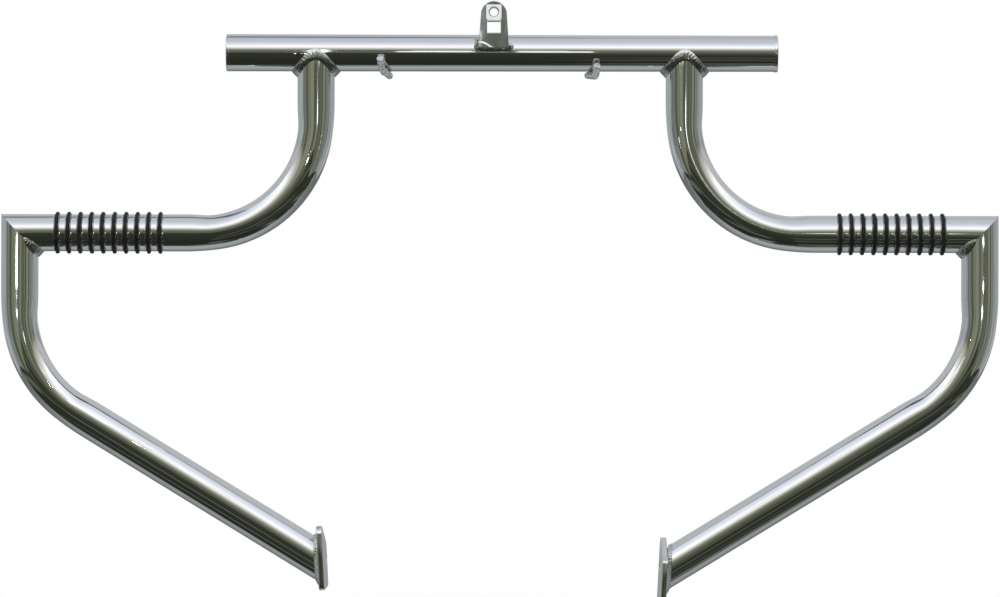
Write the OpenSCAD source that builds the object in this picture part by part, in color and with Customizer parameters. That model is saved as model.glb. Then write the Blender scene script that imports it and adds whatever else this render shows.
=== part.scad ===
// Welded tube crash bars: a crossbar with two legs that turn out into ringed foot grips,
// mitred outer legs that bend in to bolted plates, a bolt tab and two small hooks.
// The origin is the middle of the tab's bolt hole. +Z is up, and the front faces -Y.

/* [Tube] */
// Outer diameter of every tube
tube_d = 31.75; // [28:0.05:36]
// Wall thickness of every tube
tube_wall = 3.05; // [2.6:0.05:4]

/* [Crossbar] */
// Length of the crossbar over its end discs
bar_length = 470.2; // [420:0.1:540]
// Distance of the crossbar's middle to the right of the bolt hole
bar_shift = 7; // [0:0.5:12]
// Height of the bolt hole above the crossbar's axis
bolt_height = 34.2; // [32:0.1:44]
// Thickness of the discs that close the crossbar
disc_t = 3; // [2:0.1:5]
// Rounding of the discs' edges
disc_round = 1; // [0.4:0.1:1.6]

/* [Legs] */
// Distance of the legs' centre-line to the right of the bolt hole
legs_shift = 5.5; // [0:0.5:10]
// Distance between the axes of the upper legs
upper_spacing = 314.2; // [290:0.1:330]
// Height of the crossbar's axis above the grips' axes
grip_drop = 153.9; // [145:0.1:190]
// Centre-line radius of the bend above each grip
upper_bend_r = 97.3; // [80:0.1:110]
// Distance between the axes of the outer legs
outer_spacing = 819.4; // [810:0.1:860]
// Height of the crossbar's axis above the crossing of outer leg and diagonal
knee_drop = 276.7; // [260:0.1:320]
// Centre-line radius of the lower bend
lower_bend_r = 102; // [90:0.1:125]
// Slope of the diagonals below the horizontal
diagonal_slope = 31.4; // [28:0.1:36]
// How much the bending draws in the tube's surfaces
bend_draw = 0.12; // [0.1:0.01:0.3]

/* [Grip rings] */
// Rings on each grip, or as many as its straight length takes
rings_per_grip = 10; // [1:10]
// Distance from one ring to the next
ring_pitch = 9.75; // [8:0.05:10]
// Thickness of a rubber ring
ring_section = 3.4; // [3:0.1:4.6]
// How far a ring stands out of the tube
ring_proud = 2.1; // [1.8:0.05:2.4]
// Distance from an outer leg's axis in to the nearest ring
ring_set_in = 32.3; // [29:0.1:40]

/* [Mounting plates] */
// Distance of each plate's outer face from the bolt hole
plate_reach = 148.6; // [142:0.1:154]
// Thickness of the mounting plates
plate_t = 5.1; // [4:0.1:8]
// Depth of the plates from front to back
plate_depth = 64; // [60:0.5:76]
// Height of a plate's tall edge
plate_tall = 54.7; // [52:0.1:64]
// Height of a plate's short edge
plate_short = 39.5; // [32:0.1:46]
// Rounding of the plates' corners
plate_round = 5; // [3:0.1:8]
// Rounding of the upper corner at the tall edge
plate_tall_round = 8; // [4:0.1:14]
// How far a plate's front edge stands in front of the tube's axis
plate_front = 22; // [21.5:0.1:24]
// How far the left plate reaches below the tube's axis
plate_below_left = 25; // [22:0.1:28]
// How far the right plate reaches below the tube's axis
plate_below_right = 30; // [26:0.1:33]
// Lean of the plates, lower ends towards the middle
plate_lean = 3; // [0:0.1:6]
// Toe of the plates, rear edges towards the middle
plate_toe = 0.8; // [0:0.1:4]
// Diameter of the bolt hole in each plate
plate_bolt_d = 10.5; // [8:0.1:12]
// Distance of a plate's bolt hole from its rear edge
plate_bolt_edge = 13; // [12:0.1:14]

/* [Bolt tab] */
// Thickness of the tab
tab_t = 5; // [4:0.1:6]
// Radius of the tab's round top
tab_top_r = 11; // [10:0.1:13]
// How far the tab's top rises above the middle of its bolt hole
tab_rise = 9.4; // [9:0.1:12]
// Width of the tab's lower end
tab_foot_w = 25.8; // [22:0.1:30]
// Rounding of the tab's lower corners
tab_foot_round = 1.5; // [0.5:0.1:3]
// Height of the tab's lower end above the crossbar's axis
tab_foot_z = 3.5; // [2:0.1:6]
// Diameter of the bolt hole in the tab
tab_bolt_d = 8.4; // [7:0.1:9]
// Width of the window below the bolt hole
window_w = 11.4; // [10:0.1:13]
// Height of the window
window_h = 11.2; // [10:0.1:12]
// Distance from the bolt hole's middle down to the window's top edge
window_drop = 6.4; // [6:0.1:7]

/* [Clip nut] */
// Width of the clip nut
clip_w = 13; // [11:0.1:15]
// How far the clip nut's leaves rise above the bolt hole's middle
clip_rise = 6.1; // [5.6:0.1:8]
// Thickness of the clip nut's sheet
clip_sheet = 1.2; // [0.8:0.05:1.4]
// Rounding of the clip nut's corners
clip_round = 1; // [0.5:0.1:1.5]
// Bore of the clip nut's barrel
clip_bore_d = 6.8; // [6:0.1:7]
// Wall thickness of the barrel
clip_barrel_wall = 1.6; // [1:0.1:2]
// Length of the barrel behind the rear leaf
clip_barrel = 3.5; // [2:0.1:5]
// How much wider than the tab's bolt hole the front leaf's hole is
clip_hole_over = 0.6; // [0.4:0.1:1]

/* [Hooks] */
// Diameter of the hooks' rod
rod_d = 6; // [5:0.1:7]
// Distance of the left hook from the bolt hole
hook_left_x = 92; // [80:0.5:110]
// Distance of the right hook from the bolt hole
hook_right_x = 83.4; // [75:0.5:110]
// Sideways run of a hook's welded leg
hook_skew = 6.6; // [4:0.1:9]
// Length of the welded leg ahead of where it touches the crossbar
hook_lead = 13.6; // [12:0.1:17]
// Length of the welded leg behind where it touches the crossbar
hook_tail = 5.5; // [4:0.1:8]
// Length of a hook's free leg
hook_tip = 13.6; // [12:0.1:18]
// Angle of a hook's free leg from the vertical
hook_lean = 50; // [40:1:60]
// Sideways run of a hook's free leg
hook_splay = 1; // [0:0.1:2]
// Centre-line radius of a hook's bend
hook_bend_r = 8; // [5:0.1:10]
// How far the left hook is turned forward round the crossbar
hook_left_turn = 16; // [0:1:20]
// How far the right hook is turned backward round the crossbar
hook_right_turn = 5; // [0:1:10]

/* [Welds] */
// Leg length of the beads at the tube joints
weld_leg = 5; // [3.5:0.1:6]
// Leg length of the beads at the mounting plates
plate_weld = 3.9; // [3:0.1:4.2]
// Leg length of the bead around the tab's foot
tab_weld = 4.3; // [3:0.1:5]
// Height of the bead up the tab's left side
tab_weld_left = 9.4; // [4:0.1:10]
// Height of the bead up the tab's right side
tab_weld_right = 4; // [3:0.1:10]
// Radius of the weld at each hook
hook_weld = 4.6; // [3.5:0.1:5.5]
// How far a bead bulges
weld_crown = 0.9; // [0.4:0.1:1.4]
// Clearance between welded pieces
weld_gap = 0.06; // [0.05:0.01:0.15]

/* [Hidden] */
$fn = 96;
tube_r = tube_d / 2;
bore_r = tube_r - tube_wall;
outside_r = tube_r + weld_gap;
bar_z = -bolt_height;
grip_z = bar_z - grip_drop;
knee_z = bar_z - knee_drop;
upper_x = upper_spacing / 2;
outer_x = outer_spacing / 2;
knee_turn = 90 - diagonal_slope;
knee_tangent = lower_bend_r * tan(knee_turn / 2);
past = 1;
bend_lap = 0.4;
ring_centre_r = tube_r + ring_proud - ring_section / 2;
ring_r = ring_section / 2;
groove_r = ring_r + weld_gap;
grip_straight = outer_x - upper_x - upper_bend_r;
ring_count = min(rings_per_grip, 1 + floor((grip_straight - ring_set_in - groove_r) / ring_pitch));
rod_r = rod_d / 2;
tab_back = -outside_r;
tab_front = tab_back - tab_t;
tab_mid = (tab_back + tab_front) / 2;
tab_foot = bar_z + tab_foot_z;
STEEL = [0.80, 0.82, 0.84];
ZINC = [0.90, 0.91, 0.92];
RUBBER = [0.06, 0.06, 0.06];
plate_face = [
    cos(plate_lean) * cos(plate_toe),
    cos(plate_lean) * sin(plate_toe),
    -sin(plate_lean)
];
plate_rear = [-sin(plate_toe), cos(plate_toe), 0];
plate_up = [
    sin(plate_lean) * cos(plate_toe),
    sin(plate_lean) * sin(plate_toe),
    cos(plate_lean)
];
seam_soft = 2;
seam_spread = 0.2;
weld_foot = plate_weld / 5;
flank_crown = 0.3;
tee_stations = 60;
mitre_stations = 28;
mitre_runout = 88;
plate_stations = 44;
crown_steps = 4;

SIDES = ["left", "right"];
function ring_name(side, i) = str("grip_ring_", side, i < 10 ? "_0" : "_", i);
RINGS = [for (side = SIDES, i = [1 : ring_count]) ring_name(side, i)];

// A side is drawn with its outer end at +X of the legs' centre-line, and the left one mirrored.
function sign_of(side) = side == "left" ? -1 : 1;
function plate_x(side) = plate_reach - sign_of(side) * legs_shift;
function plate_z(side) = knee_z - (outer_x - plate_x(side)) * tan(diagonal_slope);
function plate_below(side) = side == "left" ? plate_below_left : plate_below_right;
function unit(v) = v / norm(v);
function deg(arc, r) = arc / r * 180 / PI;

module on_side(side) {
    translate([legs_shift, 0, 0])
        mirror([side == "left" ? 1 : 0, 0, 0])
            children();
}

// The pieces are drawn about the plane of the tubes' axes, which lies behind the bolt hole.
module piece(tint) {
    color(tint) translate([0, -tab_mid, 0]) children();
}

module along_x(x0, x1, z, r) {
    translate([x0, 0, z]) rotate([0, 90, 0]) cylinder(h = x1 - x0, r = r);
}

// A bend in the XZ plane that starts at the origin going down and turns towards +X or -X.
// It is thinner than the straight tube by bend_draw, and the straight tube laps over its ends.
module bend_down(bend_r, angle, r, towards) {
    mirror([towards < 0 ? 1 : 0, 0, 0])
        translate([bend_r, 0, 0])
            rotate([90, 0, 0])
                rotate([0, 0, 180])
                    rotate_extrude(angle = angle)
                        translate([bend_r, 0, 0]) circle(r = r - bend_draw);
}

// Points of a straight-sided outline that rolls round circles, each given as [x, y, radius].
function roll_normal(a, b) =
    let (d = [b[0] - a[0], b[1] - a[1]])
    let (angle = atan2(d[1], d[0]) - 90 + asin((a[2] - b[2]) / norm(d)))
    [cos(angle), sin(angle)];
function roll_points(c) = [
    for (i = [0 : len(c) - 1])
        let (a = c[i], b = c[(i + 1) % len(c)], n = roll_normal(a, b))
        each [[a[0], a[1]] + a[2] * n, [b[0], b[1]] + b[2] * n]
];
module rolled_outline(c) {
    polygon(roll_points(c));
    for (p = c) translate([p[0], p[1]]) circle(r = p[2]);
}

// Joins rings of points, each with the same number, into one solid.
module loft(rings, closed) {
    n = len(rings);
    k = len(rings[0]);
    last = closed ? n - 1 : n - 2;
    walls = [
        for (i = [0 : last], j = [0 : k - 1])
            let (a = i * k, b = ((i + 1) % n) * k, j2 = (j + 1) % k)
            each [[a + j, b + j, a + j2], [a + j2, b + j, b + j2]]
    ];
    first_cap = [for (j = [1 : k - 2]) [0, j, j + 1]];
    last_cap = [for (j = [1 : k - 2]) (n - 1) * k * [1, 1, 1] + [0, j + 1, j]];
    polyhedron([for (r = rings) each r], closed ? walls : concat(walls, first_cap, last_cap));
}

// A bead's section runs from the seam along one surface to a, over the crown to b and back.
function bead_section(seam, a, b, out, crown, back) = concat(
    [seam, a],
    [for (i = [1 : crown_steps - 1])
        let (t = i / crown_steps)
        a + (b - a) * t + out * crown * 4 * t * (1 - t)],
    [b],
    back);

// Crossbar
module crossbar() {
    x0 = bar_shift - bar_length / 2 + disc_t;
    x1 = bar_shift + bar_length / 2 - disc_t;
    piece(STEEL) difference() {
        along_x(x0, x1, bar_z, tube_r);
        along_x(x0 - past, x1 + past, bar_z, bore_r);
    }
}

module end_disc(side) {
    piece(STEEL) translate([bar_shift, 0, bar_z])
        mirror([side == "left" ? 1 : 0, 0, 0])
            translate([bar_length / 2 - disc_t, 0, 0])
                rotate([0, 90, 0])
                    rotate_extrude() {
                        square([tube_r - disc_round, disc_t]);
                        square([tube_r, disc_t - disc_round]);
                        translate([tube_r - disc_round, disc_t - disc_round])
                            intersection() {
                                circle(r = disc_round);
                                square(disc_round);
                            }
                    }
}

// Upper leg: down from the crossbar, through the bend and out along the grip to the mitre.
module upper_run(r, over) {
    bend_z = grip_z + upper_bend_r;
    translate([upper_x, 0, bend_z - bend_lap]) cylinder(h = bar_z - bend_z + bend_lap, r = r);
    translate([upper_x, 0, bend_z]) bend_down(upper_bend_r, 90, r, 1);
    along_x(upper_x + upper_bend_r - bend_lap, outer_x + tube_r + over, grip_z, r);
}

// The corner plane leans at 45 degrees. The grip keeps what is above it, the lower leg the rest,
// each less half the welding clearance.
module corner_block(x0) {
    translate([outer_x, 0, grip_z]) rotate([0, 45, 0])
        translate([x0, -tube_d, -3 * tube_d]) cube([3 * tube_d, 2 * tube_d, 6 * tube_d]);
}

module upper_leg(side) {
    piece(STEEL) on_side(side) difference() {
        upper_run(tube_r, 0);
        upper_run(bore_r, past);
        along_x(upper_x - tube_d, upper_x + tube_d, bar_z, outside_r);
        corner_block(-weld_gap / 2);
        for (x = ring_places()) translate([x, 0, grip_z]) ring_torus(groove_r);
    }
}

// Lower leg: down from the mitre, through the bend and along the diagonal to the plate.
module lower_run(side, r, over) {
    length = (outer_x - plate_x(side)) / cos(diagonal_slope) - knee_tangent;
    bend_z = knee_z + knee_tangent;
    translate([outer_x, 0, bend_z - bend_lap])
        cylinder(h = grip_z + tube_r + over - bend_z + bend_lap, r = r);
    translate([outer_x, 0, bend_z]) bend_down(lower_bend_r, knee_turn, r, -1);
    translate([outer_x, 0, knee_z])
        rotate([0, -90 - diagonal_slope, 0])
            translate([0, 0, knee_tangent - bend_lap])
                cylinder(h = length + tube_d + over + bend_lap, r = r);
}

module at_plate(side) {
    translate([plate_x(side), 0, plate_z(side)]) rotate([0, plate_lean, plate_toe]) children();
}

module lower_leg(side) {
    piece(STEEL) on_side(side) difference() {
        lower_run(side, tube_r, 0);
        lower_run(side, bore_r, past);
        corner_block(weld_gap / 2 - 3 * tube_d);
        at_plate(side) translate([-4 * tube_d, -2 * tube_d, -2 * tube_d])
            cube([4 * tube_d, 4 * tube_d, 4 * tube_d]);
    }
}

// Mounting plates: one cut shape, its tall edge forward on the left and turned to the rear on
// the right.
module plate_outline() {
    r = plate_round;
    rolled_outline([
        [r, r, r],
        [plate_depth - r, r, r],
        [plate_depth - r, plate_short - r, r],
        [plate_tall_round, plate_tall - plate_tall_round, plate_tall_round]
    ]);
}

module mount_plate(side) {
    rear = plate_depth - plate_front;
    piece(STEEL) on_side(side) at_plate(side) difference() {
        translate([-plate_t, 0, -plate_below(side)])
            rotate([90, 0, 90]) linear_extrude(plate_t - weld_gap)
                if (side == "left") translate([-plate_front, 0]) plate_outline();
                else translate([rear, 0]) mirror([1, 0]) plate_outline();
        translate([-plate_t - past, rear - plate_bolt_edge, 0])
            rotate([0, 90, 0]) cylinder(h = plate_t + 2 * past, d = plate_bolt_d);
    }
}

// Bolt tab: round top, spreading foot, bolt hole and window
module centre_tab() {
    r = tab_foot_round;
    foot_x = tab_foot_w / 2 - r;
    outline = [
        [-foot_x, tab_foot + r, r],
        [foot_x, tab_foot + r, r],
        [0, tab_rise - tab_top_r, tab_top_r]
    ];
    piece(STEEL) difference() {
        translate([0, tab_back, 0])
            rotate([90, 0, 0]) linear_extrude(tab_t) rolled_outline(outline);
        translate([0, tab_back + past, 0])
            rotate([90, 0, 0]) cylinder(h = tab_t + 2 * past, d = tab_bolt_d);
        translate([-window_w / 2, tab_front - past, -window_drop - window_h])
            cube([window_w, tab_t + 2 * past, window_h]);
    }
}

// Clip nut: a strip folded over the window's top edge, with a barrel on its rear leaf. Its side
// view is a U round the tab, and its front view is wide leaves over a fold that clears the window.
module clip_side(half, low, round) {
    translate([half, low]) rolled_outline([
        [round - 2 * half, round, round],
        [-round, round, round],
        [-round, clip_rise - low + past, round],
        [round - 2 * half, clip_rise - low + past, round]
    ]);
}

module clip_front() {
    r = clip_round;
    fold_w = window_w - 4 * weld_gap;
    rolled_outline([for (x = [-1, 1]) [x * (clip_w / 2 - r), r - window_drop, r],
        for (x = [1, -1]) [x * (clip_w / 2 - r), clip_rise - r, r]]);
    translate([-fold_w / 2, -window_drop - clip_round - clip_sheet]) square([fold_w, clip_rise]);
}

module clip_nut() {
    half = tab_t / 2 + weld_gap;
    low = -window_drop - clip_round;
    depth = 2 * (half + clip_sheet);
    piece(ZINC) translate([0, tab_mid, 0]) difference() {
        union() {
            intersection() {
                translate([-clip_w, 0, 0]) rotate([90, 0, 90]) linear_extrude(2 * clip_w) difference() {
                    clip_side(half + clip_sheet, low - clip_sheet, clip_round + clip_sheet);
                    clip_side(half, low, clip_round);
                }
                translate([0, depth / 2 + past, 0])
                    rotate([90, 0, 0]) linear_extrude(depth + 2 * past) clip_front();
            }
            translate([0, half + clip_sheet / 2, 0])
                rotate([-90, 0, 0])
                    cylinder(h = clip_sheet / 2 + clip_barrel, r = clip_bore_d / 2 + clip_barrel_wall);
        }
        rotate([-90, 0, 0]) cylinder(h = depth + clip_barrel, d = clip_bore_d);
        rotate([90, 0, 0]) cylinder(h = depth, d = tab_bolt_d + clip_hole_over);
    }
}

// Hooks. The welded leg lies on the crossbar at hook_turn from straight down, and the rod's
// points are found in the plane that touches it there.
function hook_turn(side) = side == "left" ? hook_left_turn : -hook_right_turn;
function hook_x(side) = side == "left" ? hook_left_x : hook_right_x;
function hook_touch(side) =
    (tube_r + rod_r + weld_gap) * [0, -sin(hook_turn(side)), -cos(hook_turn(side))];
function hook_along(side) = [0, -cos(hook_turn(side)), sin(hook_turn(side))];
function hook_root(side) = hook_touch(side) - hook_tail * hook_along(side) - [hook_skew / 2, 0, 0];
function hook_elbow(side) = hook_touch(side) + hook_lead * hook_along(side) + [hook_skew / 2, 0, 0];
function hook_end(side) =
    hook_elbow(side) + [hook_splay, -hook_tip * sin(hook_lean), hook_tip * cos(hook_lean)];

// Draws its children at a point, with their Z axis turned along d.
module aimed(at, d) {
    translate(at) rotate([0, acos(d[2]), atan2(d[1], d[0])]) children();
}

// The azimuth of v about d, as seen by a child of aimed.
function azimuth_about(d, v) =
    let (across = [-d[1], d[0], 0], up = [d[0] * d[2], d[1] * d[2], d[2] * d[2] - 1])
    atan2(v * across, v * up);

// The welded leg, the bend and the free leg
module hook_rod(side, r) {
    welded = unit(hook_elbow(side) - hook_root(side));
    free = unit(hook_end(side) - hook_elbow(side));
    turn = acos(welded * free);
    tangent = hook_bend_r * tan(turn / 2);
    lead = norm(hook_elbow(side) - hook_root(side)) - tangent + bend_lap;
    tip = norm(hook_end(side) - hook_elbow(side)) - tangent + bend_lap;
    aimed(hook_root(side), welded) cylinder(h = lead, r = r);
    aimed(hook_end(side), -free) cylinder(h = tip, r = r);
    aimed(hook_elbow(side) - tangent * welded, -welded)
        rotate([0, 0, azimuth_about(-welded, free)]) bend_down(hook_bend_r, turn, r, 1);
}

module at_hook(side) {
    mirror([side == "left" ? 1 : 0, 0, 0]) translate([hook_x(side), 0, bar_z]) children();
}

module hook(side) {
    piece(STEEL) at_hook(side) hook_rod(side, rod_r);
}

module weld_hook(side) {
    piece(STEEL) at_hook(side) difference() {
        translate(hook_touch(side) * tube_r / (tube_r + rod_r)) sphere(r = hook_weld);
        along_x(-tube_d, tube_d, 0, outside_r);
        hook_rod(side, rod_r + weld_gap);
    }
}

// Rings
function ring_places() =
    [for (i = [1 : ring_count]) outer_x - ring_set_in - (ring_count - i) * ring_pitch];

module ring_torus(r) {
    rotate([0, 90, 0]) rotate_extrude() translate([ring_centre_r, 0]) circle(r = r);
}

module grip_ring(side, i) {
    piece(RUBBER) on_side(side)
        translate([ring_places()[i - 1], 0, grip_z]) ring_torus(ring_r);
}

// Bulge of a bead: slight where its seam turns inwards, and full at the front and the back
function crown_at(front) = weld_crown * (flank_crown + (1 - flank_crown) * front);

// Weld at a saddle joint. The seam is where the leg's surface meets the crossbar's, and it is
// rounded by seam_soft where it turns at the front and the back.
function tee_ring(u) =
    let (t = u + seam_spread * sin(2 * u) * 180 / PI)
    let (x = outside_r * cos(t), y = outside_r * sin(t))
    let (z = -sqrt(outside_r * outside_r + seam_soft * seam_soft - y * y))
    let (fall = outside_r * sin(t) * cos(t) / -z)
    let (a = [x, y, z - weld_leg * sqrt(1 + fall * fall)])
    let (bar_angle = atan2(z, y))
    let (turn = (y * y * cos(t) / -z - z * cos(t)) * outside_r / (y * y + z * z))
    let (across = unit([turn * outside_r, outside_r * sin(t)]))
    let (b = tee_on_bar(x, bar_angle, across, weld_leg))
    let (under = tee_on_bar(x, bar_angle, across, weld_leg / 2))
    let (out = unit([cos(t), sin(t), 0] + unit([0, y, z])))
    bead_section([x, y, z], a, b, out, crown_at(abs(sin(t))), [under]);
function tee_on_bar(x, angle, across, d) =
    let (g = angle + deg(d * across[1], outside_r))
    [x + d * across[0], outside_r * cos(g), outside_r * sin(g)];

module weld_tee(side) {
    piece(STEEL) on_side(side) translate([upper_x, 0, bar_z])
        loft([for (i = [0 : tee_stations - 1]) tee_ring(360 * i / tee_stations)], true);
}

// Weld round the inner half of the mitre, run out to nothing at the front and the back.
function mitre_ring(q) =
    let (w = outside_r * cos(q), y = outside_r * sin(q))
    let (leg = weld_leg * sqrt(1 + sin(q) * sin(q)) * sqrt(1 - pow(q / mitre_runout, 4)))
    let (out = unit([-cos(q), 2 * sin(q), -cos(q)]))
    let (crown = crown_at(abs(sin(q))) * cos(q / 2))
    bead_section([-w, y, -w], [-w, y, -w - leg], [-w - leg, y, -w], out, crown, []);

module weld_mitre(side) {
    sweep = mitre_runout - 2;
    piece(STEEL) on_side(side) translate([outer_x, 0, grip_z])
        loft([for (i = [0 : mitre_stations]) mitre_ring((2 * i / mitre_stations - 1) * sweep)], false);
}

// Height of a plate's sloping upper edge over the tube's axis, at a distance behind the axis
function plate_edge(side, behind) =
    let (share = (behind + plate_front) / plate_depth)
    let (fall = (plate_tall - plate_short) * (side == "left" ? share : 1 - share))
    plate_tall - fall - plate_below(side);

// How far a bead's foot may run from a place on the plate before it meets the sloping edge
function plate_room(side, seam, flat) =
    let (slope = plate_edge(side, 1) - plate_edge(side, 0))
    let (gain = flat * plate_up - slope * (flat * plate_rear))
    gain > 0 ? (plate_edge(side, seam * plate_rear) - seam * plate_up) / gain : plate_depth;

// Weld round the slanting tube where it meets the plate. Its foot stays on the plate.
function plate_ring(side, q) =
    let (e = [cos(diagonal_slope), 0, sin(diagonal_slope)])
    let (up = [-sin(diagonal_slope), 0, cos(diagonal_slope)])
    let (radial = cos(q) * up + sin(q) * [0, 1, 0])
    let (start = outside_r * radial)
    let (seam = start + e * (weld_gap - start * plate_face) / (e * plate_face))
    let (flat = unit(radial - (radial * plate_face) * plate_face))
    let (foot = max(weld_foot, min(plate_weld, plate_room(side, seam, flat))))
    let (out = unit(flat + e), a = seam + plate_weld * e, b = seam + foot * flat)
    bead_section(seam, a, b, out, weld_crown * flank_crown, []);

module weld_plate(side) {
    turns = [for (i = [0 : plate_stations - 1]) 360 * i / plate_stations];
    piece(STEEL) on_side(side) translate([plate_x(side), 0, plate_z(side)])
        loft([for (q = turns) plate_ring(side, q)], true);
}

// Weld down both sides of the tab's foot and along its lower edge. A station stands at x and z
// on the tab's outline, and its bead lies towards out on the crossbar.
function bar_front(z) = -sqrt(outside_r * outside_r - (z - bar_z) * (z - bar_z));
function tab_station(x, z, out) =
    let (x1 = x + tab_weld * out[0], z1 = z + tab_weld * out[1])
    let (a = [x, tab_back - 0.7 * tab_t, z], b = [x1, bar_front(z1), z1])
    bead_section([x, bar_front(z), z], a, b, unit([out[0], -1, out[1]]), weld_crown, []);
function tab_upright(x, foot, rise, out) = [
    for (f = [0.15, 0.8, 1]) tab_station(x, foot + f * rise, [out * (f == 1 ? 0.3 : 1), 0])
];

module weld_tab() {
    x = tab_foot_w / 2 + weld_gap;
    foot = tab_foot - weld_gap;
    left = tab_upright(-x, foot, tab_weld_left, -1);
    piece(STEEL) loft(concat(
        [left[2], left[1], left[0], tab_station(-x, foot, [-0.8, -0.8])],
        [for (f = [-0.5, 0, 0.5]) tab_station(f * x, foot, [0, -1])],
        [tab_station(x, foot, [0.8, -0.8])],
        tab_upright(x, foot, tab_weld_right, 1)), false);
}

crossbar();
centre_tab();
clip_nut();
weld_tab();
for (side = SIDES) {
    end_disc(side);
    upper_leg(side);
    lower_leg(side);
    mount_plate(side);
    hook(side);
    weld_tee(side);
    weld_mitre(side);
    weld_plate(side);
    weld_hook(side);
    for (i = [1 : ring_count])
        grip_ring(side, i);
}
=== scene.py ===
"""Chrome crash bars: bent tubes, weld beads, rubber grip rings, plates, tab, clip nut and hooks."""

import math

import bmesh
import bpy
from bpy.props import (
    FloatProperty,
    FloatVectorProperty,
    IntProperty,
    PointerProperty,
)
from mathutils import Matrix, Vector


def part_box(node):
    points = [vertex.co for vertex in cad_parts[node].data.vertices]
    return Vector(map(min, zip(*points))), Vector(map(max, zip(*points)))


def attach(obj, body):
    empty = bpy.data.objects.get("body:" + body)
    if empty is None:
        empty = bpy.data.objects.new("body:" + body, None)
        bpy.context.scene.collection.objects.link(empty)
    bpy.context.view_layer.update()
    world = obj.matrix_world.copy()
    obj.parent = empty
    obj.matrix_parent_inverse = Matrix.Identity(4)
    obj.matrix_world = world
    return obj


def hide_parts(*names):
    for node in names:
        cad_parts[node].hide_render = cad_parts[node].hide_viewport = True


bl_info = {
    "name": "Crash Bars",
    "version": (1, 0, 0),
    "blender": (4, 5, 0),
    "location": "3D View > Sidebar > Crash Bars",
    "description": "Builds welded chrome crash bars with ringed grips on their packed frame",
    "category": "Add Mesh",
}

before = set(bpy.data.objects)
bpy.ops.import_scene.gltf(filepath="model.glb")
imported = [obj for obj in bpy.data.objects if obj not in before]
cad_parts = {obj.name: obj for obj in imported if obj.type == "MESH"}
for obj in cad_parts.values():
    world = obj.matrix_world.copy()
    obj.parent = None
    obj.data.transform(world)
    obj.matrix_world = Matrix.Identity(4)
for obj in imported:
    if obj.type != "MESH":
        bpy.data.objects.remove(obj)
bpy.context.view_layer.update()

MM = 0.001
SIDES = ("left", "right")
SIGN = {"left": -1, "right": 1}
WHITE = (1.0, 1.0, 1.0, 1.0)


def box_of(node):
    low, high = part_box(node)
    return low, high, (low + high) / 2


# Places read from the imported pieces
BAR_LOW, BAR_HIGH, BAR_MID = box_of("crossbar")
TUBE_R = (BAR_HIGH.z - BAR_LOW.z) / 2
AXIS_Y = BAR_MID.y
BAR_Z = BAR_MID.z
GRIP_Z = box_of("grip_ring_left_01")[2].z
RING_PLACES = {
    side: [box_of(f"grip_ring_{side}_{i:02d}")[2].x for i in range(1, 11)] for side in SIDES
}
OUTER_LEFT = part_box("lower_leg_left")[0].x + TUBE_R
OUTER_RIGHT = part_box("lower_leg_right")[1].x - TUBE_R
LEGS_X = (OUTER_LEFT + OUTER_RIGHT) / 2
OUTER_X = (OUTER_RIGHT - OUTER_LEFT) / 2
UPPER_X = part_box("upper_leg_right")[0].x + TUBE_R - LEGS_X
TAB_LOW, TAB_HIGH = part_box("centre_tab")
GAP = 0.06 * MM
# share of a groove's radius at which its wall gives way to the soft lip
GROOVE_RIM = 0.97
SQUARE = ((-1, -1), (1, -1), (1, 1), (-1, 1))


# Sizes and colours


def length(name, about, default, **more):
    return FloatProperty(
        name=name, description=about, default=default, min=0.0, unit="LENGTH", precision=5, **more
    )


def angle(name, about, degrees):
    return FloatProperty(
        name=name, description=about, default=math.radians(degrees), subtype="ANGLE"
    )


def colour(name, about, default):
    return FloatVectorProperty(
        name=name, description=about, default=default, subtype="COLOR", min=0.0, max=1.0, size=3
    )


class TubeSizes(bpy.types.PropertyGroup):
    upper_bend: length("Upper bend", "Centre-line radius above the grips", 97.3 * MM)
    lower_bend: length("Lower bend", "Centre-line radius of the lower bends", 102.0 * MM)
    knee_drop: length("Knee drop", "Height of the crossbar above the lower corner", 276.7 * MM)
    slope: angle("Diagonal slope", "Slope of the diagonals below the horizontal", 31.4)
    ovality: FloatProperty(
        name="Ovality", description="Share by which a bend flattens the tube", default=0.065, min=0.0
    )
    ease: length("Flattening run", "Run over which a bend's flattening grows", 26.0 * MM)
    sides: IntProperty(
        name="Facets round", description="Facets round each tube", default=112, min=12, max=256
    )
    lip: length("Groove lip", "Width of the soft lip beside each ring groove", 1.3 * MM)
    lip_sink: length("Lip depth", "Depth of the lip where the ring lies", 0.5 * MM)
    disc_round: length("Disc rounding", "Rounding of the end discs", 1.0 * MM)


class PlateSizes(bpy.types.PropertyGroup):
    thick: length("Thickness", "Thickness of the mounting plates", 5.04 * MM)
    depth: length("Depth", "Depth of the plates from front to back", 64.0 * MM)
    tall: length("Tall edge", "Height of the tall edge", 54.7 * MM)
    short: length("Short edge", "Height of the short edge", 39.5 * MM)
    corner: length("Corners", "Rounding of three corners", 5.0 * MM)
    tall_corner: length("Tall corner", "Rounding of the upper corner at the tall edge", 8.0 * MM)
    front: length("Front", "Distance of the front edge ahead of the tube's axis", 22.0 * MM)
    bolt: length("Bolt hole", "Diameter of the bolt hole", 10.5 * MM)
    bolt_edge: length("Bolt edge", "Distance of the hole from the rear edge", 13.0 * MM)
    edge: length("Edge rounding", "Rounding of the plates' rims", 0.9 * MM)
    reach: length("Reach", "Distance of the outer faces from the bolt hole", 148.6 * MM)
    below_left: length("Below, left", "Depth of the left plate below the tube's axis", 25.0 * MM)
    below_right: length("Below, right", "Depth of the right plate below the tube's axis", 30.0 * MM)
    toe: angle("Toe", "Turn of the plates about the upright", 0.8)
    lean: angle("Lean", "Lean of the plates", 3.0)


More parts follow.
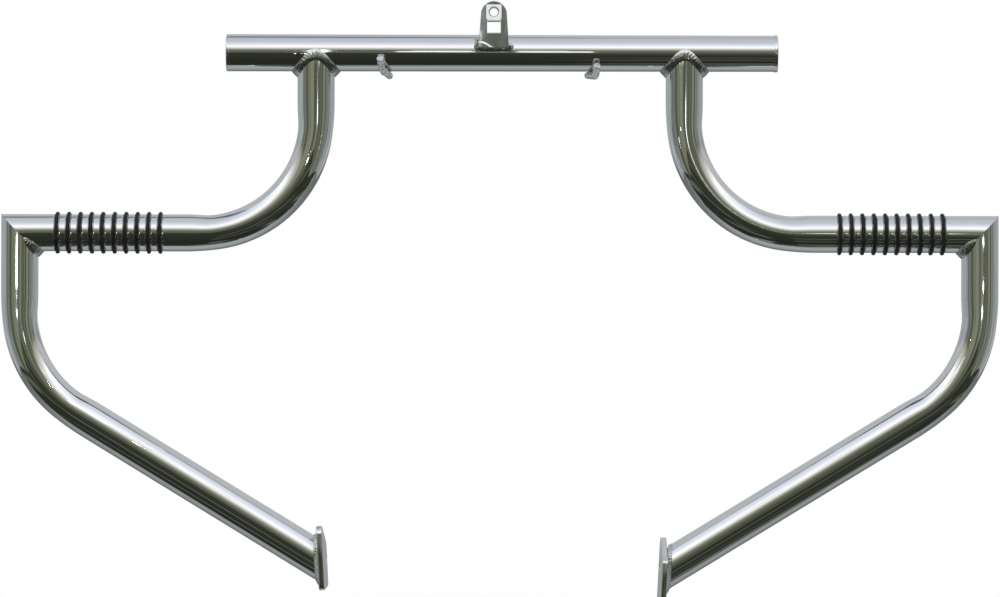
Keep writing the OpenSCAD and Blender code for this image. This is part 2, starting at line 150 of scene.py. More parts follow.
class TabSizes(bpy.types.PropertyGroup):
    top_radius: length("Top radius", "Radius of the tab's round top", 11.0 * MM)
    rise: length("Rise", "Height of the tab's top above the hole", 9.4 * MM)
    foot: length("Foot width", "Width of the tab's foot", 25.8 * MM)
    bolt: length("Bolt hole", "Diameter of the bolt hole", 8.4 * MM)
    window: length("Window width", "Width of the window", 11.4 * MM)
    window_tall: length("Window height", "Height of the window", 11.2 * MM)
    window_drop: length("Window drop", "Distance of the window's top below the hole", 6.4 * MM)
    edge: length("Edge rounding", "Rounding of the tab's rims", 0.7 * MM)


class RingSizes(bpy.types.PropertyGroup):
    count: IntProperty(name="Rings", description="Rings on each grip", default=10, min=1, max=10)
    pitch: length("Pitch", "Distance between rings", 9.75 * MM)
    section: length("Section", "Thickness of a ring", 3.4 * MM)
    proud: length("Proud", "Height of a ring above the tube", 2.1 * MM)
    lean: angle("Lean", "Largest lean of a ring in its groove", 0.5)


class WeldSizes(bpy.types.PropertyGroup):
    leg: length("Leg", "Leg length of the beads at the tubes", 5.0 * MM)
    plate_leg: length("Plate leg", "Leg length of the beads at the plates", 3.9 * MM)
    tab_leg: length("Tab leg", "Leg length of the bead at the tab", 4.3 * MM)
    crown: length("Crown", "Bulge of a bead at the front", 1.2 * MM)
    flank: FloatProperty(
        name="Flank", description="Share of the bulge that the flanks keep", default=0.05, min=0.0
    )
    flank_drop: length("Flank drop", "How much lower the saddle beads end at the flanks", 3.6 * MM)
    ripple: length("Ripple", "Distance between ripples", 2.6 * MM)
    ripple_height: length("Ripple height", "Height of the ripples", 0.45 * MM)
    lumps: length("Lumps", "Height of the uneven lumps", 0.55 * MM)


class HookSizes(bpy.types.PropertyGroup):
    rod: length("Rod", "Diameter of the rod", 6.0 * MM)
    bend: length("Bend", "Centre-line radius of the bend", 8.0 * MM)
    tip_round: length("Tip rounding", "Rounding of the cut tips", 0.5 * MM)
    lead: length("Lead", "Run from the crossbar's underside to the bend", 13.6 * MM)
    tail: length("Tail", "Run of the rod behind the crossbar's lowest line", 5.5 * MM)
    tip: length("Tip", "Length of the free leg", 13.6 * MM)
    skew: length("Skew", "Sideways run of the welded leg", 6.6 * MM)
    splay: length("Splay", "Sideways run of the free leg", 1.0 * MM)
    lean: angle("Lean", "Lean of the free leg ahead", 50.0)
    left_x: length("Left place", "Distance of the left hook from the middle", 92.0 * MM)
    right_x: length("Right place", "Distance of the right hook from the middle", 83.4 * MM)
    left_turn: angle("Left turn", "Turn of the left hook round the crossbar", 16.0)
    right_turn: angle("Right turn", "Turn of the right hook round the crossbar", -5.0)


class Finishes(bpy.types.PropertyGroup):
    chrome: colour("Chrome", "Colour of the bright plate", (0.80, 0.81, 0.82))
    weld: colour("Plated weld", "Colour of the plate over the beads", (0.70, 0.72, 0.73))
    zinc: colour("Zinc", "Colour of the clip nut", (0.84, 0.90, 0.92))
    rubber: colour("Rubber", "Colour of the grip rings", (0.006, 0.006, 0.006))
    polish: FloatProperty(
        name="Polish", description="Roughness of the chrome", default=0.035, min=0.0, max=1.0
    )
    waviness: length("Waviness", "Depth of the long waves left by polishing", 0.02 * MM)


class StageSizes(bpy.types.PropertyGroup):
    camera_distance: length("Camera distance", "Distance of the camera from the tubes", 4.0)
    view_width: length("View width", "Width that the picture spans at the tubes", 0.8535)
    aim_x: FloatProperty(
        name="Aim X", description="Where the camera points", default=0.0057, unit="LENGTH"
    )
    aim_z: FloatProperty(
        name="Aim Z", description="Where the camera points", default=-0.2435, unit="LENGTH"
    )
    roll: angle("Roll", "Turn of the camera about its axis", -0.12)
    floor_drop: length("Floor drop", "Depth of the floor below the bolt hole", 0.56)


GROUPS = {
    "crash_tubes": TubeSizes,
    "crash_plates": PlateSizes,
    "crash_tab": TabSizes,
    "crash_rings": RingSizes,
    "crash_welds": WeldSizes,
    "crash_hooks": HookSizes,
    "crash_finishes": Finishes,
    "crash_stage": StageSizes,
}


# Node trees


class Link:
    """An output socket that Python's own operators act on, by adding Math nodes."""

    def __init__(self, tree, socket):
        self.tree = tree
        self.socket = socket

    def maths(self, operation, a, b=None, c=None):
        given = {i: v for i, v in enumerate((a, b, c)) if v is not None}
        return self.tree.node("ShaderNodeMath", {"operation": operation}, given)

    def __add__(self, other):
        return self.maths("ADD", self, other)

    def __radd__(self, other):
        return self.maths("ADD", other, self)

    def __sub__(self, other):
        return self.maths("SUBTRACT", self, other)

    def __rsub__(self, other):
        return self.maths("SUBTRACT", other, self)

    def __mul__(self, other):
        return self.maths("MULTIPLY", self, other)

    def __rmul__(self, other):
        return self.maths("MULTIPLY", other, self)

    def __truediv__(self, other):
        return self.maths("DIVIDE", self, other)

    def __neg__(self):
        return self.maths("MULTIPLY", self, -1.0)

    def __pow__(self, other):
        return self.maths("POWER", self, other)

    def __abs__(self):
        return self.maths("ABSOLUTE", self)

    def above(self, edge, soft):
        """0 below edge, 1 above it, with a soft step."""
        return self.tree.node(
            "ShaderNodeMapRange",
            {"interpolation_type": "SMOOTHSTEP"},
            {"Value": self, "From Min": edge - soft, "From Max": edge + soft},
        )


class Tree:
    """Adds nodes to a node tree and joins them."""

    def __init__(self, tree):
        self.tree = tree

    def node(self, kind, settings=None, inputs=None, output=0):
        made = self.tree.nodes.new(kind)
        for name, value in (settings or {}).items():
            if name == "stops":
                fill_ramp(made.color_ramp, value)
            else:
                setattr(made, name, value)
        for key, value in (inputs or {}).items():
            self.join(value, made.inputs[key])
        return Link(self, made.outputs[output])

    def outputs(self, link, *names):
        """Further outputs of the node that a link comes from."""
        return [Link(self, link.socket.node.outputs[n]) for n in names]

    def split(self, place, *axes):
        """The parts of a vector along its axes 0, 1 and 2."""
        return self.outputs(self.node("ShaderNodeSeparateXYZ", None, {0: place}), *axes)

    def close(self, kind, link):
        """Ends the tree in an output node."""
        self.join(link, self.tree.nodes.new(kind).inputs[0])

    def join(self, value, socket):
        if isinstance(value, Link):
            self.tree.links.new(value.socket, socket)
        else:
            socket.default_value = value

    def blend(self, factor, a, b):
        """A colour that goes from a to b."""
        return self.node(
            "ShaderNodeMix", {"data_type": "RGBA"}, {0: factor, 6: a, 7: b}, output=2
        )

    def times(self, a, b):
        """One colour multiplied by another."""
        settings = {"data_type": "RGBA", "blend_type": "MULTIPLY"}
        return self.node("ShaderNodeMix", settings, {0: 1.0, 6: a, 7: b}, output=2)

    def attribute(self, name, kind="FLOAT"):
        return self.node("GeometryNodeInputNamedAttribute", {"data_type": kind}, {"Name": name})

    def vector(self, operation, a, b=None, scale=None, output=0):
        given = {0: a}
        if b is not None:
            given[1] = b
        if scale is not None:
            given["Scale"] = scale
        return self.node("ShaderNodeVectorMath", {"operation": operation}, given, output)


def fill_ramp(ramp, stops):
    """Sets a ramp's stops from (place, colour) pairs."""
    while len(ramp.elements) > 1:
        ramp.elements.remove(ramp.elements[-1])
    for i, (place, tint) in enumerate(stops):
        stop = ramp.elements[0] if i == 0 else ramp.elements.new(place)
        stop.position = place
        stop.color = tint if len(tint) == 4 else (*tint, 1.0)


def shown(red, green, blue):
    """A colour as it shows on a screen, 0 to 255, made linear."""

    def linear(v):
        v = v / 255
        return v / 12.92 if v <= 0.04045 else ((v + 0.055) / 1.055) ** 2.4

    return (linear(red), linear(green), linear(blue))


def shape_tree(name, inputs):
    """A Geometry Nodes tree with named inputs, and its Tree and group input links."""
    group = bpy.data.node_groups.new(name, "GeometryNodeTree")
    group.interface.new_socket("Geometry", in_out="INPUT", socket_type="NodeSocketGeometry")
    for label, kind, default in inputs:
        socket = group.interface.new_socket(label, in_out="INPUT", socket_type=kind)
        if default is not None:
            socket.default_value = default
    group.interface.new_socket("Geometry", in_out="OUTPUT", socket_type="NodeSocketGeometry")
    tree = Tree(group)
    entry = group.nodes.new("NodeGroupInput")
    given = {s.name: Link(tree, s) for s in entry.outputs if s.name}
    return group, tree, given


def close_tree(tree, geometry, material):
    """Ends a tree in Realize Instances, smooth shading with sharp edges, and Set Material."""
    real = tree.node("GeometryNodeRealizeInstances", None, {0: geometry})
    smooth = tree.node("GeometryNodeSetShadeSmooth", {"domain": "FACE"}, {0: real, 2: True})
    angle = tree.node("GeometryNodeInputMeshEdgeAngle")
    sharp = tree.node(
        "FunctionNodeCompare",
        {"data_type": "FLOAT", "operation": "GREATER_THAN"},
        {0: angle, 1: math.radians(38)},
    )
    edged = tree.node("GeometryNodeSetShadeSmooth", {"domain": "EDGE"}, {0: smooth, 1: sharp, 2: False})
    painted = tree.node("GeometryNodeSetMaterial", None, {0: edged, "Material": material})
    tree.close("NodeGroupOutput", painted)


def set_inputs(modifier, values):
    """Sets a modifier's inputs by their sockets' identifiers."""
    for socket in modifier.node_group.interface.items_tree:
        if socket.item_type == "SOCKET" and socket.in_out == "INPUT" and socket.name in values:
            modifier[socket.identifier] = values[socket.name]


def new_object(name, data):
    """Puts an object into the scene."""
    made = bpy.data.objects.new(name, data)
    bpy.context.scene.collection.objects.link(made)
    return made


def plain_mesh(holder):
    """The mesh that an object shows."""
    evaluated = holder.evaluated_get(bpy.context.evaluated_depsgraph_get())
    return bpy.data.meshes.new_from_object(evaluated)


def grown(name, base, group, values):
    """The plain mesh that a Geometry Nodes tree makes of a base mesh."""
    holder = new_object(name + "_base", base)
    modifier = holder.modifiers.new("Shape", "NODES")
    modifier.node_group = group
    set_inputs(modifier, values)
    holder.update_tag()
    mesh = plain_mesh(holder)
    mesh.name = name
    holder.modifiers.remove(modifier)
    bpy.data.objects.remove(holder)
    return mesh


# Placing pieces


def place(name, mesh, slot, nodes, material=None):
    """Makes a mesh a piece of the bars that stands for its nodes."""
    piece = new_object(name, mesh)
    if material is not None:
        mesh.materials.clear()
        mesh.materials.append(material)
    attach(piece, "root")
    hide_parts(*nodes)
    return piece


def mesh_of(name, points, faces):
    mesh = bpy.data.meshes.new(name)
    mesh.from_pydata([tuple(p) for p in points], [], faces)
    mesh.update()
    return mesh


def wrap_faces(rows, columns):
    """The faces between closed rows of points that follow each other."""
    faces = []
    for i in range(rows):
        for j in range(columns):
            a, b = i * columns + j, i * columns + (j + 1) % columns
            faces.append((a, b, b + columns, a + columns))
    return faces


def face_out(mesh, joined=None):
    """Turns faces outwards, after joining points that are closer than joined."""
    work = bmesh.new()
    work.from_mesh(mesh)
    if joined is not None:
        bmesh.ops.remove_doubles(work, verts=work.verts, dist=joined)
    bmesh.ops.recalc_face_normals(work, faces=work.faces)
    work.to_mesh(mesh)
    work.free()


def finish_faces(mesh, angle=38, flat=None):
    """Turns faces outwards and marks sharp edges. Faces that look along flat stay flat."""
    face_out(mesh, 1e-6)
    mesh.shade_smooth()
    mesh.set_sharp_from_angle(angle=math.radians(angle))
    if flat is not None:
        for face in mesh.polygons:
            if abs(face.normal.dot(flat)) > 0.9999:
                face.use_smooth = False
    mesh.update()
    return mesh


def on_side(side, x):
    """The frame's X of a place at x to the outside of the legs' centre-line."""
    return LEGS_X + SIGN[side] * x


def piece_material(label):
    return bpy.data.materials[label]


# Finishes


def new_material(name):
    material = bpy.data.materials.new(name)
    material.use_nodes = True
    material.node_tree.nodes.clear()
    return material, Tree(material.node_tree)


def end_material(tree, base, metallic, roughness, bump=None, shine=None):
    shader = tree.node("ShaderNodeBsdfPrincipled", None, {"Metallic": metallic})
    node = shader.socket.node
    tree.join(base, node.inputs["Base Color"])
    tree.join(roughness, node.inputs["Roughness"])
    if shine is not None:
        node.inputs["Specular IOR Level"].default_value = shine
    if bump is not None:
        tree.join(bump, node.inputs["Normal"])
    tree.close("ShaderNodeOutputMaterial", shader)


def noise_at(tree, place, scale, detail=2.0, rough=0.5, stretch=None):
    """Noise on the piece's own coordinates, scale in waves per metre."""
    if stretch is not None:
        given = {"Vector": place, "Scale": stretch}
        place = tree.node("ShaderNodeMapping", {"vector_type": "POINT"}, given)
    return tree.node(
        "ShaderNodeTexNoise", None,
        {"Vector": place, "Scale": scale, "Detail": detail, "Roughness": rough},
    )


def object_place(tree):
    return tree.node("ShaderNodeTexCoord", None, None, output="Object")


def bump_of(tree, height, depth, strength=1.0, normal=None):
    given = {"Height": height, "Distance": depth, "Strength": strength}
    if normal is not None:
        given["Normal"] = normal
    return tree.node("ShaderNodeBump", None, given)


def foot_ledge(tree, spot):
    """A low step across the tab's foot, where the plate was pressed over the tube."""
    middle, spread = -4.2 * MM, 4.5 * MM
    level, sway, soft = -28.6 * MM, -3.2 * MM, 1.3 * MM
    x, z = tree.split(spot, 0, 2)
    sweep = tree.node("ShaderNodeMath", {"operation": "TANH"}, {0: (x - middle) / spread})
    return (sweep * sway + level - z).above(0.0, soft)


def make_chrome(name, tint, polish, waves, pits, wave_scale=22.0, ledge=0.0):
    """Bright plate: long polishing waves, fine grain, faint haze and pinprick pits."""
    material, tree = new_material(name)
    spot = object_place(tree)
    long_wave = noise_at(tree, spot, wave_scale, 1.0)
    haze = noise_at(tree, spot, 60.0, 3.0, 0.6)
    grain = noise_at(tree, spot, 900.0, 2.0, 0.6)
    fine = tree.node(
        "ShaderNodeTexVoronoi", {"feature": "F1"}, {"Vector": spot, "Scale": 210.0}
    )
    pit = 1.0 - fine.above(0.05, 0.03)
    shade = haze.above(0.5, 0.35)
    base = tree.blend(
        shade * 0.5, (*tint, 1.0), (tint[0] * 0.94, tint[1] * 0.945, tint[2] * 0.955, 1.0)
    )
    base = tree.blend(pit * pits, base, (0.25, 0.26, 0.25, 1.0))
    roughness = polish + haze * (polish * 0.5) + pit * (0.25 * pits)
    waved = bump_of(tree, long_wave, waves)
    if ledge > 0.0:
        waved = bump_of(tree, foot_ledge(tree, spot), ledge, normal=waved)
    textured = bump_of(tree, grain, 0.0012 * MM, normal=waved)
    end_material(tree, base, 1.0, roughness, textured)
    return material


def make_weld(name, tint, polish):
    """Plate over weld metal: ripples come from the mesh, small pits and spatter from here."""
    material, tree = new_material(name)
    spot = object_place(tree)
    lump = noise_at(tree, spot, 330.0, 3.0, 0.6)
    haze = noise_at(tree, spot, 150.0, 2.0)
    base = tree.blend(haze.above(0.52, 0.2), (*tint, 1.0), (*[c * 0.8 for c in tint], 1.0))
    roughness = polish + haze * 0.12
    bumped = bump_of(tree, lump, 0.3 * MM)
    end_material(tree, base, 1.0, roughness, bumped)
    return material


def make_dull(name, tint):
    """Plate over rough rod: lumps, dull patches, and painted shade that darkens the colour in the hollows.
    """
    material, tree = new_material(name)
    spot = object_place(tree)
    lump = noise_at(tree, spot, 520.0, 3.0, 0.6)
    haze = noise_at(tree, spot, 260.0, 2.0)
    # painted shade: the colour darkens where the lump noise, which also raises the bump, is low
    base = tree.blend(lump.above(0.47, 0.12), tuple(c * 0.45 for c in tint) + (1.0,), (*tint, 1.0))
    end_material(tree, base, 0.72, 0.2 + haze * 0.2, bump_of(tree, lump, 0.35 * MM))
    return material


def make_zinc(name, tint):
    """Passivated sheet with rolling marks, a faint straw bloom and painted shade along the lower edge."""
    material, tree = new_material(name)
    spot = object_place(tree)
    marks = noise_at(tree, spot, 500.0, 2.0, 0.5, stretch=(1.0, 1.0, 0.12))
    bloom = noise_at(tree, spot, 160.0, 2.0)
    straw = (tint[0] * 0.97, tint[1] * 0.95, tint[2] * 0.9, 1.0)
    base = tree.blend(bloom.above(0.5, 0.3), (*tint, 1.0), straw)
    # painted shade and reflection: the colour darkens along the clip's lower edge, where the fold's
    # underside would reflect the dark floor
    rise = tree.split(spot, 2)[0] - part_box("clip_nut")[0].z
    painted_fold_shade = 1.0 - rise.above(1.1 * MM, 0.5 * MM)
    base = tree.blend(painted_fold_shade * 0.8, base, (0.1, 0.11, 0.1, 1.0))
    roughness = 0.22 + marks * 0.16
    end_material(tree, base, 0.1, roughness, bump_of(tree, marks, 0.01 * MM))
    return material


def make_rubber(name, tint):
    """Moulded rubber: fine grain, dull patches and a little dust in scattered patches."""
    material, tree = new_material(name)
    spot = object_place(tree)
    grain = noise_at(tree, spot, 2600.0, 2.0, 0.6)
    patch = noise_at(tree, spot, 220.0, 3.0, 0.6)
    dust = patch.above(0.58, 0.14)
    base = tree.blend(dust, (*tint, 1.0), (tint[0] + 0.010, tint[1] + 0.010, tint[2] + 0.009, 1.0))
    roughness = 0.42 + patch * 0.22
    end_material(
        tree, base, 0.0, roughness, bump_of(tree, grain, 0.02 * MM), shine=0.3
    )
    return material


class CRASH_OT_finishes(bpy.types.Operator):
    """Makes the chrome, plated weld, zinc and rubber materials"""

    bl_idname = "crash.finishes"
    bl_label = "Finishes"

    def execute(self, context):
        f = context.scene.crash_finishes
        make_chrome("Tube chrome", f.chrome, f.polish, f.waviness, 0.35)
        make_chrome("Plate chrome", f.chrome, f.polish * 1.6, f.waviness * 0.4, 0.5)
        make_chrome("Tab chrome", f.chrome, f.polish * 1.8, f.waviness * 4, 0.5, 75.0, 0.5 * MM)
        make_dull("Hook plate", f.chrome)
        make_weld("Weld chrome", f.weld, f.polish * 1.5)
        make_zinc("Clip zinc", f.zinc)
        make_rubber("Ring rubber", f.rubber)
        return {"FINISHED"}


# Tubes


def round_curve(tree, facets, radius):
    return tree.node(
        "GeometryNodeCurvePrimitiveCircle", {"mode": "RADIUS"}, {"Resolution": facets, "Radius": radius}
    )


def tube_tree():
    """Sweeps a round section along a path. The path carries centre, across, bend and swell."""
    group, tree, given = shape_tree(
        "Swept tube",
        [
            ("Radius", "NodeSocketFloat", 0.015875),
            ("Ovality", "NodeSocketFloat", 0.035),
            ("Facets", "NodeSocketInt", 96),
            ("Material", "NodeSocketMaterial", None),
        ],
    )
    path = tree.node("GeometryNodeMeshToCurve", None, {0: given["Geometry"]})
    section = round_curve(tree, given["Facets"], given["Radius"])
    skin = tree.node(
        "GeometryNodeCurveToMesh", None, {"Curve": path, "Profile Curve": section, "Fill Caps": True}
    )
    centre = tree.attribute("centre", "FLOAT_VECTOR")
    across = tree.attribute("across", "FLOAT_VECTOR")
    bend = tree.attribute("bend")
    swell = tree.attribute("swell")
    here = tree.node("GeometryNodeInputPosition")
    arm = tree.vector("SUBTRACT", here, centre)
    sideways = tree.vector("DOT_PRODUCT", arm, across, output=1)
    squeeze = sideways * given["Ovality"] * bend
    flat = tree.vector("SCALE", across, scale=squeeze)
    grown_arm = tree.vector("SUBTRACT", tree.vector("SCALE", arm, scale=swell), flat)
    shaped = tree.node(
        "GeometryNodeSetPosition", None, {0: skin, "Position": tree.vector("ADD", centre, grown_arm)}
    )
    close_tree(tree, shaped, given["Material"])
    return group


class Path:
    """Points in the plane of the tubes, from straight runs and arcs."""

    def __init__(self, x, z, heading):
        self.x, self.z, self.heading, self.run = x, z, heading, 0.0
        self.points = [(x, z, heading, 0.0)]
        self.arcs = []

    def straight(self, run, step):
        count = max(1, round(run / step))
        across, up = math.cos(self.heading), math.sin(self.heading)
        for i in range(1, count + 1):
            d = run * i / count
            self.points.append((self.x + d * across, self.z + d * up, self.heading, self.run + d))
        self.x, self.z = self.points[-1][:2]
        self.run += run
        return self

    def arc(self, radius, turn, step=math.radians(1.5)):
        """Turns left where turn is positive."""
        sign = 1 if turn > 0 else -1
        cx = self.x - sign * radius * math.sin(self.heading)
        cz = self.z + sign * radius * math.cos(self.heading)
        start, count = self.heading, max(2, round(abs(turn) / step))
        length_of = radius * abs(turn)
        for i in range(1, count + 1):
            h = start + turn * i / count
            at = (cx + sign * radius * math.sin(h), cz - sign * radius * math.cos(h))
            self.points.append((*at, h, self.run + length_of * i / count))
        self.arcs.append((self.run, self.run + length_of))
        self.x, self.z, self.heading = self.points[-1][:3]
        self.run += length_of
        return self

    def flat_at(self, run, ease):
        """The share of a bend's flattening at a run along the path. It starts ahead of the bend."""
        share = 0.0
        for start, stop in self.arcs:
            t = min(max(min(run - start, stop - run) / ease + 0.5, 0.0), 1.0)
            share = max(share, t * t * (3 - 2 * t))
        return share

    def flattened(self, ease):
        return [(x, z, h, self.flat_at(run, ease)) for x, z, h, run in self.points]


def path_mesh(name, path, side, swell=None):
    """An edge path with the attributes that the tube tree reads."""
    points = [(on_side(side, x), AXIS_Y, z) for x, z, heading, bend in path]
    mesh = bpy.data.meshes.new(name)
    mesh.from_pydata(points, [(i, i + 1) for i in range(len(points) - 1)], [])
    sign = SIGN[side]
    kinds = {"centre": "FLOAT_VECTOR", "across": "FLOAT_VECTOR", "bend": "FLOAT", "swell": "FLOAT"}
    for label, kind in kinds.items():
        mesh.attributes.new(label, kind, "POINT")
    centre, across, bend, swelling = (mesh.attributes[label] for label in kinds)
    for i, (x, z, heading, amount) in enumerate(path):
        centre.data[i].vector = points[i]
        across.data[i].vector = (-sign * math.sin(heading), 0.0, math.cos(heading))
        bend.data[i].value = amount
        swelling.data[i].value = 1.0 if swell is None else swell(x, z)
    return mesh


def end_rings(mesh, sides):
    """The first and the last ring of points of a swept tube."""
    count = len(mesh.vertices)
    return range(sides), range(count - sides, count)


def slide_ring(mesh, ring, along, height):
    """Moves a ring of points along a direction until height, a function of the point, is nought."""
    along = Vector(along)
    for i in ring:
        co = mesh.vertices[i].co
        mesh.vertices[i].co = co + along * height(co)


def groove_swell(side, sizes, rings):
    """The tube's share of its radius along a grip, with a round groove and soft lips."""
    ring_r = rings.section / 2 + GAP
    centre_r = TUBE_R + rings.proud - rings.section / 2
    places = [abs(x - LEGS_X) for x in RING_PLACES[side]]
    reach = ring_r + sizes.lip

    def swell(x, z):
        if abs(z - GRIP_Z) > 1e-6:
            return 1.0
        off = min(abs(x - p) for p in places)
        if off > reach:
            return 1.0
        if off < ring_r * GROOVE_RIM:
            return (centre_r - math.sqrt(ring_r**2 - off**2)) / TUBE_R
        t = (reach - off) / (reach - ring_r * GROOVE_RIM)
        return 1.0 - sizes.lip_sink / TUBE_R * t * t

    return swell


def grip_stations(side, start, stop, sizes, rings):
    """Places along the grip, close together at the grooves."""
    ring_r = rings.section / 2 + GAP
    marks = {start, stop}
    for x in RING_PLACES[side]:
        p = abs(x - LEGS_X)
        # the last two stand on both sides of the groove's rim
        for f in (0.0, 0.35, 0.65, 0.85, GROOVE_RIM - 0.005, GROOVE_RIM + 0.0001):
            marks |= {p - f * ring_r, p + f * ring_r}
        for f in (0.2, 0.4, 0.6, 0.8, 1.0):
            marks |= {p - ring_r - f * sizes.lip, p + ring_r + f * sizes.lip}
    last = [m for m in sorted(marks) if start <= m <= stop]
    filled = []
    for a, b in zip(last, last[1:]):
        count = max(1, math.ceil((b - a) / (4 * MM)))
        filled += [a + (b - a) * i / count for i in range(count)]
    return filled + [stop]


class CRASH_OT_tubes(bpy.types.Operator):
    """Makes the crossbar, the legs and the end discs"""

    bl_idname = "crash.tubes"
    bl_label = "Tubes"

    def execute(self, context):
        sizes = context.scene.crash_tubes
        rings = context.scene.crash_rings
        group = tube_tree()
        values = {
            "Radius": TUBE_R,
            "Ovality": sizes.ovality,
            "Facets": sizes.sides,
            "Material": piece_material("Tube chrome"),
        }
        run = Path(BAR_LOW.x - LEGS_X, BAR_Z, 0.0).straight(BAR_HIGH.x - BAR_LOW.x, 6 * MM)
        mesh = grown("crossbar_skin", path_mesh("crossbar_path", run.points, "right"), group, values)
        place("crossbar_skin", mesh, "tube_chrome", ["crossbar"])
        for side in SIDES:
            self.upper_leg(side, sizes, rings, group, values)
            self.lower_leg(context, side, sizes, group, values)
            self.end_disc(side, sizes)
        return {"FINISHED"}

    def upper_leg(self, side, sizes, rings, group, values):
        top = BAR_Z - TUBE_R - 3 * MM
        path = Path(UPPER_X, top, -math.pi / 2)
        path.straight(top - GRIP_Z - sizes.upper_bend, 5 * MM)
        path.arc(sizes.upper_bend, math.pi / 2)
        stations = grip_stations(
            side, UPPER_X + sizes.upper_bend, OUTER_X - TUBE_R - 2 * MM, sizes, rings
        )
        behind = path.run - path.x
        points = [(UPPER_X, BAR_Z, -math.pi / 2, 0.0)] + path.flattened(sizes.ease)[:-1]
        points += [(x, GRIP_Z, 0.0, path.flat_at(behind + x, sizes.ease)) for x in stations]
        points.append((OUTER_X, GRIP_Z, 0.0, 0.0))
        base = path_mesh(f"upper_{side}_path", points, side, groove_swell(side, sizes, rings))
        mesh = grown(f"upper_leg_{side}_skin", base, group, values)
        first, last = end_rings(mesh, sizes.sides)
        seat = TUBE_R + GAP
        slide_ring(mesh, first, (0, 0, -1), lambda p: math.sqrt(seat**2 - (p.y - AXIS_Y) ** 2))
        slide_ring(mesh, last, (SIGN[side], 0, 0), lambda p: (p.z - GRIP_Z) - GAP / 2)
        mesh.update()
        place(f"upper_leg_{side}_skin", mesh, "tube_chrome", [f"upper_leg_{side}"])

    def lower_leg(self, context, side, sizes, group, values):
        turn = math.pi / 2 - sizes.slope
        tangent = sizes.lower_bend * math.tan(turn / 2)
        knee_z = BAR_Z - sizes.knee_drop
        top = GRIP_Z - TUBE_R - 2 * MM
        path = Path(OUTER_X, top, -math.pi / 2)
        path.straight(top - knee_z - tangent, 5 * MM)
        path.arc(sizes.lower_bend, -turn)
        at, normal = plate_seat(context, side)
        reach = (OUTER_X - abs(at.x - LEGS_X)) / math.cos(sizes.slope) - tangent
        clear = TUBE_R * math.tan(sizes.slope) + 2 * MM
        path.straight(reach - clear, 6 * MM)
        points = [(OUTER_X, GRIP_Z, -math.pi / 2, 0.0)] + path.flattened(sizes.ease)
        end = path.points[-1]
        points.append(
            (end[0] + clear * math.cos(end[2]), end[1] + clear * math.sin(end[2]), end[2], 0.0)
        )
        mesh = grown(
            f"lower_leg_{side}_skin", path_mesh(f"lower_{side}_path", points, side), group, values
        )
        first, last = end_rings(mesh, sizes.sides)
        sign = SIGN[side]
        corner = on_side(side, OUTER_X)
        slide_ring(mesh, first, (0, 0, 1), lambda p: sign * (p.x - corner) - GAP / 2)
        along = Vector((sign * math.cos(end[2]), 0.0, math.sin(end[2])))
        slide_ring(mesh, last, along, lambda p: (at - p).dot(normal) / along.dot(normal))
        mesh.update()
        place(f"lower_leg_{side}_skin", mesh, "tube_chrome", [f"lower_leg_{side}"])

    def end_disc(self, side, sizes):
        """A disc turned about the crossbar's axis, its rim rounded and its seam ground flush."""
        low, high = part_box(f"end_disc_{side}")
        inner, out = (high.x, -1) if side == "left" else (low.x, 1)
        r, round_r, thick = TUBE_R, sizes.disc_round, high.x - low.x
        profile = [(0.0, 0.0), (r - 0.15 * MM, 0.0), (r - 0.02 * MM, 0.15 * MM), (r, 0.5 * MM)]
        for i in range(9):
            a = math.radians(90 * i / 8)
            profile.append(
                (r - round_r + round_r * math.cos(a), thick - round_r + round_r * math.sin(a))
            )
        profile += [(r * 0.6, thick), (r * 0.3, thick), (0.0, thick)]
        count = sizes.sides
        points, faces = [], []
        for j in range(count):
            a = 2 * math.pi * j / count
            for rr, h in profile:
                points.append((inner + out * h, AXIS_Y + rr * math.cos(a), BAR_Z + rr * math.sin(a)))
        m = len(profile)
        for j in range(count):
            for i in range(m - 1):
                a, b = j * m + i, ((j + 1) % count) * m + i
                faces.append((a, a + 1, b + 1, b))
        mesh = finish_faces(mesh_of(f"end_disc_{side}_skin", points, faces), 50)
        finish = piece_material("Tube chrome")
        place(f"end_disc_{side}_skin", mesh, "tube_chrome", [f"end_disc_{side}"], finish)


# Plates and tab


def plate_turn(context):
    """The plates' toe and lean."""
    s = context.scene.crash_plates
    return Matrix.Rotation(s.toe, 3, "Z") @ Matrix.Rotation(s.lean, 3, "Y")


def plate_below(s, side):
    return s.below_left if side == "left" else s.below_right


def plate_edge(s, side, behind):
    """Height of a plate's sloping edge over the tube's axis, at a distance behind the axis."""
    share = (behind + s.front) / s.depth
    fall = (s.tall - s.short) * (share if side == "left" else 1 - share)
    return s.tall - fall - plate_below(s, side)


def plate_seat(context, side):
    """A point on a plate's outer face and the face's outward normal, in the frame."""
    sizes = context.scene.crash_tubes
    reach = context.scene.crash_plates.reach
    sign = SIGN[side]
    local_x = reach - sign * LEGS_X
    knee_z = BAR_Z - sizes.knee_drop
    z = knee_z - (OUTER_X - local_x) * math.tan(sizes.slope)
    normal = plate_turn(context) @ Vector((1, 0, 0))
    return (
        Vector((on_side(side, local_x), AXIS_Y, z)),
        Vector((sign * normal.x, normal.y, normal.z)),
    )


def rolled(corners, step=6):
    """The outline that rolls round circles, each given as (x, y, radius) anticlockwise."""
    outline = []
    count = len(corners)
    turns = []
    for i in range(count):
        (ax, ay, ar), (bx, by, br) = corners[i], corners[(i + 1) % count]
        run = math.hypot(bx - ax, by - ay)
        turns.append(math.atan2(by - ay, bx - ax) - math.pi / 2 + math.asin((ar - br) / run))
    for i in range(count):
        x, y, r = corners[i]
        start, stop = turns[i - 1], turns[i]
        while stop < start:
            stop += 2 * math.pi
        steps = max(2, round(math.degrees(stop - start) / step))
        for k in range(steps + 1):
            a = start + (stop - start) * k / steps
            outline.append((x + r * math.cos(a), y + r * math.sin(a)))
    return outline


def circle(x, y, r, count=48):
    return [
        (x + r * math.cos(2 * math.pi * k / count), y + r * math.sin(2 * math.pi * k / count))
        for k in range(count)
    ]


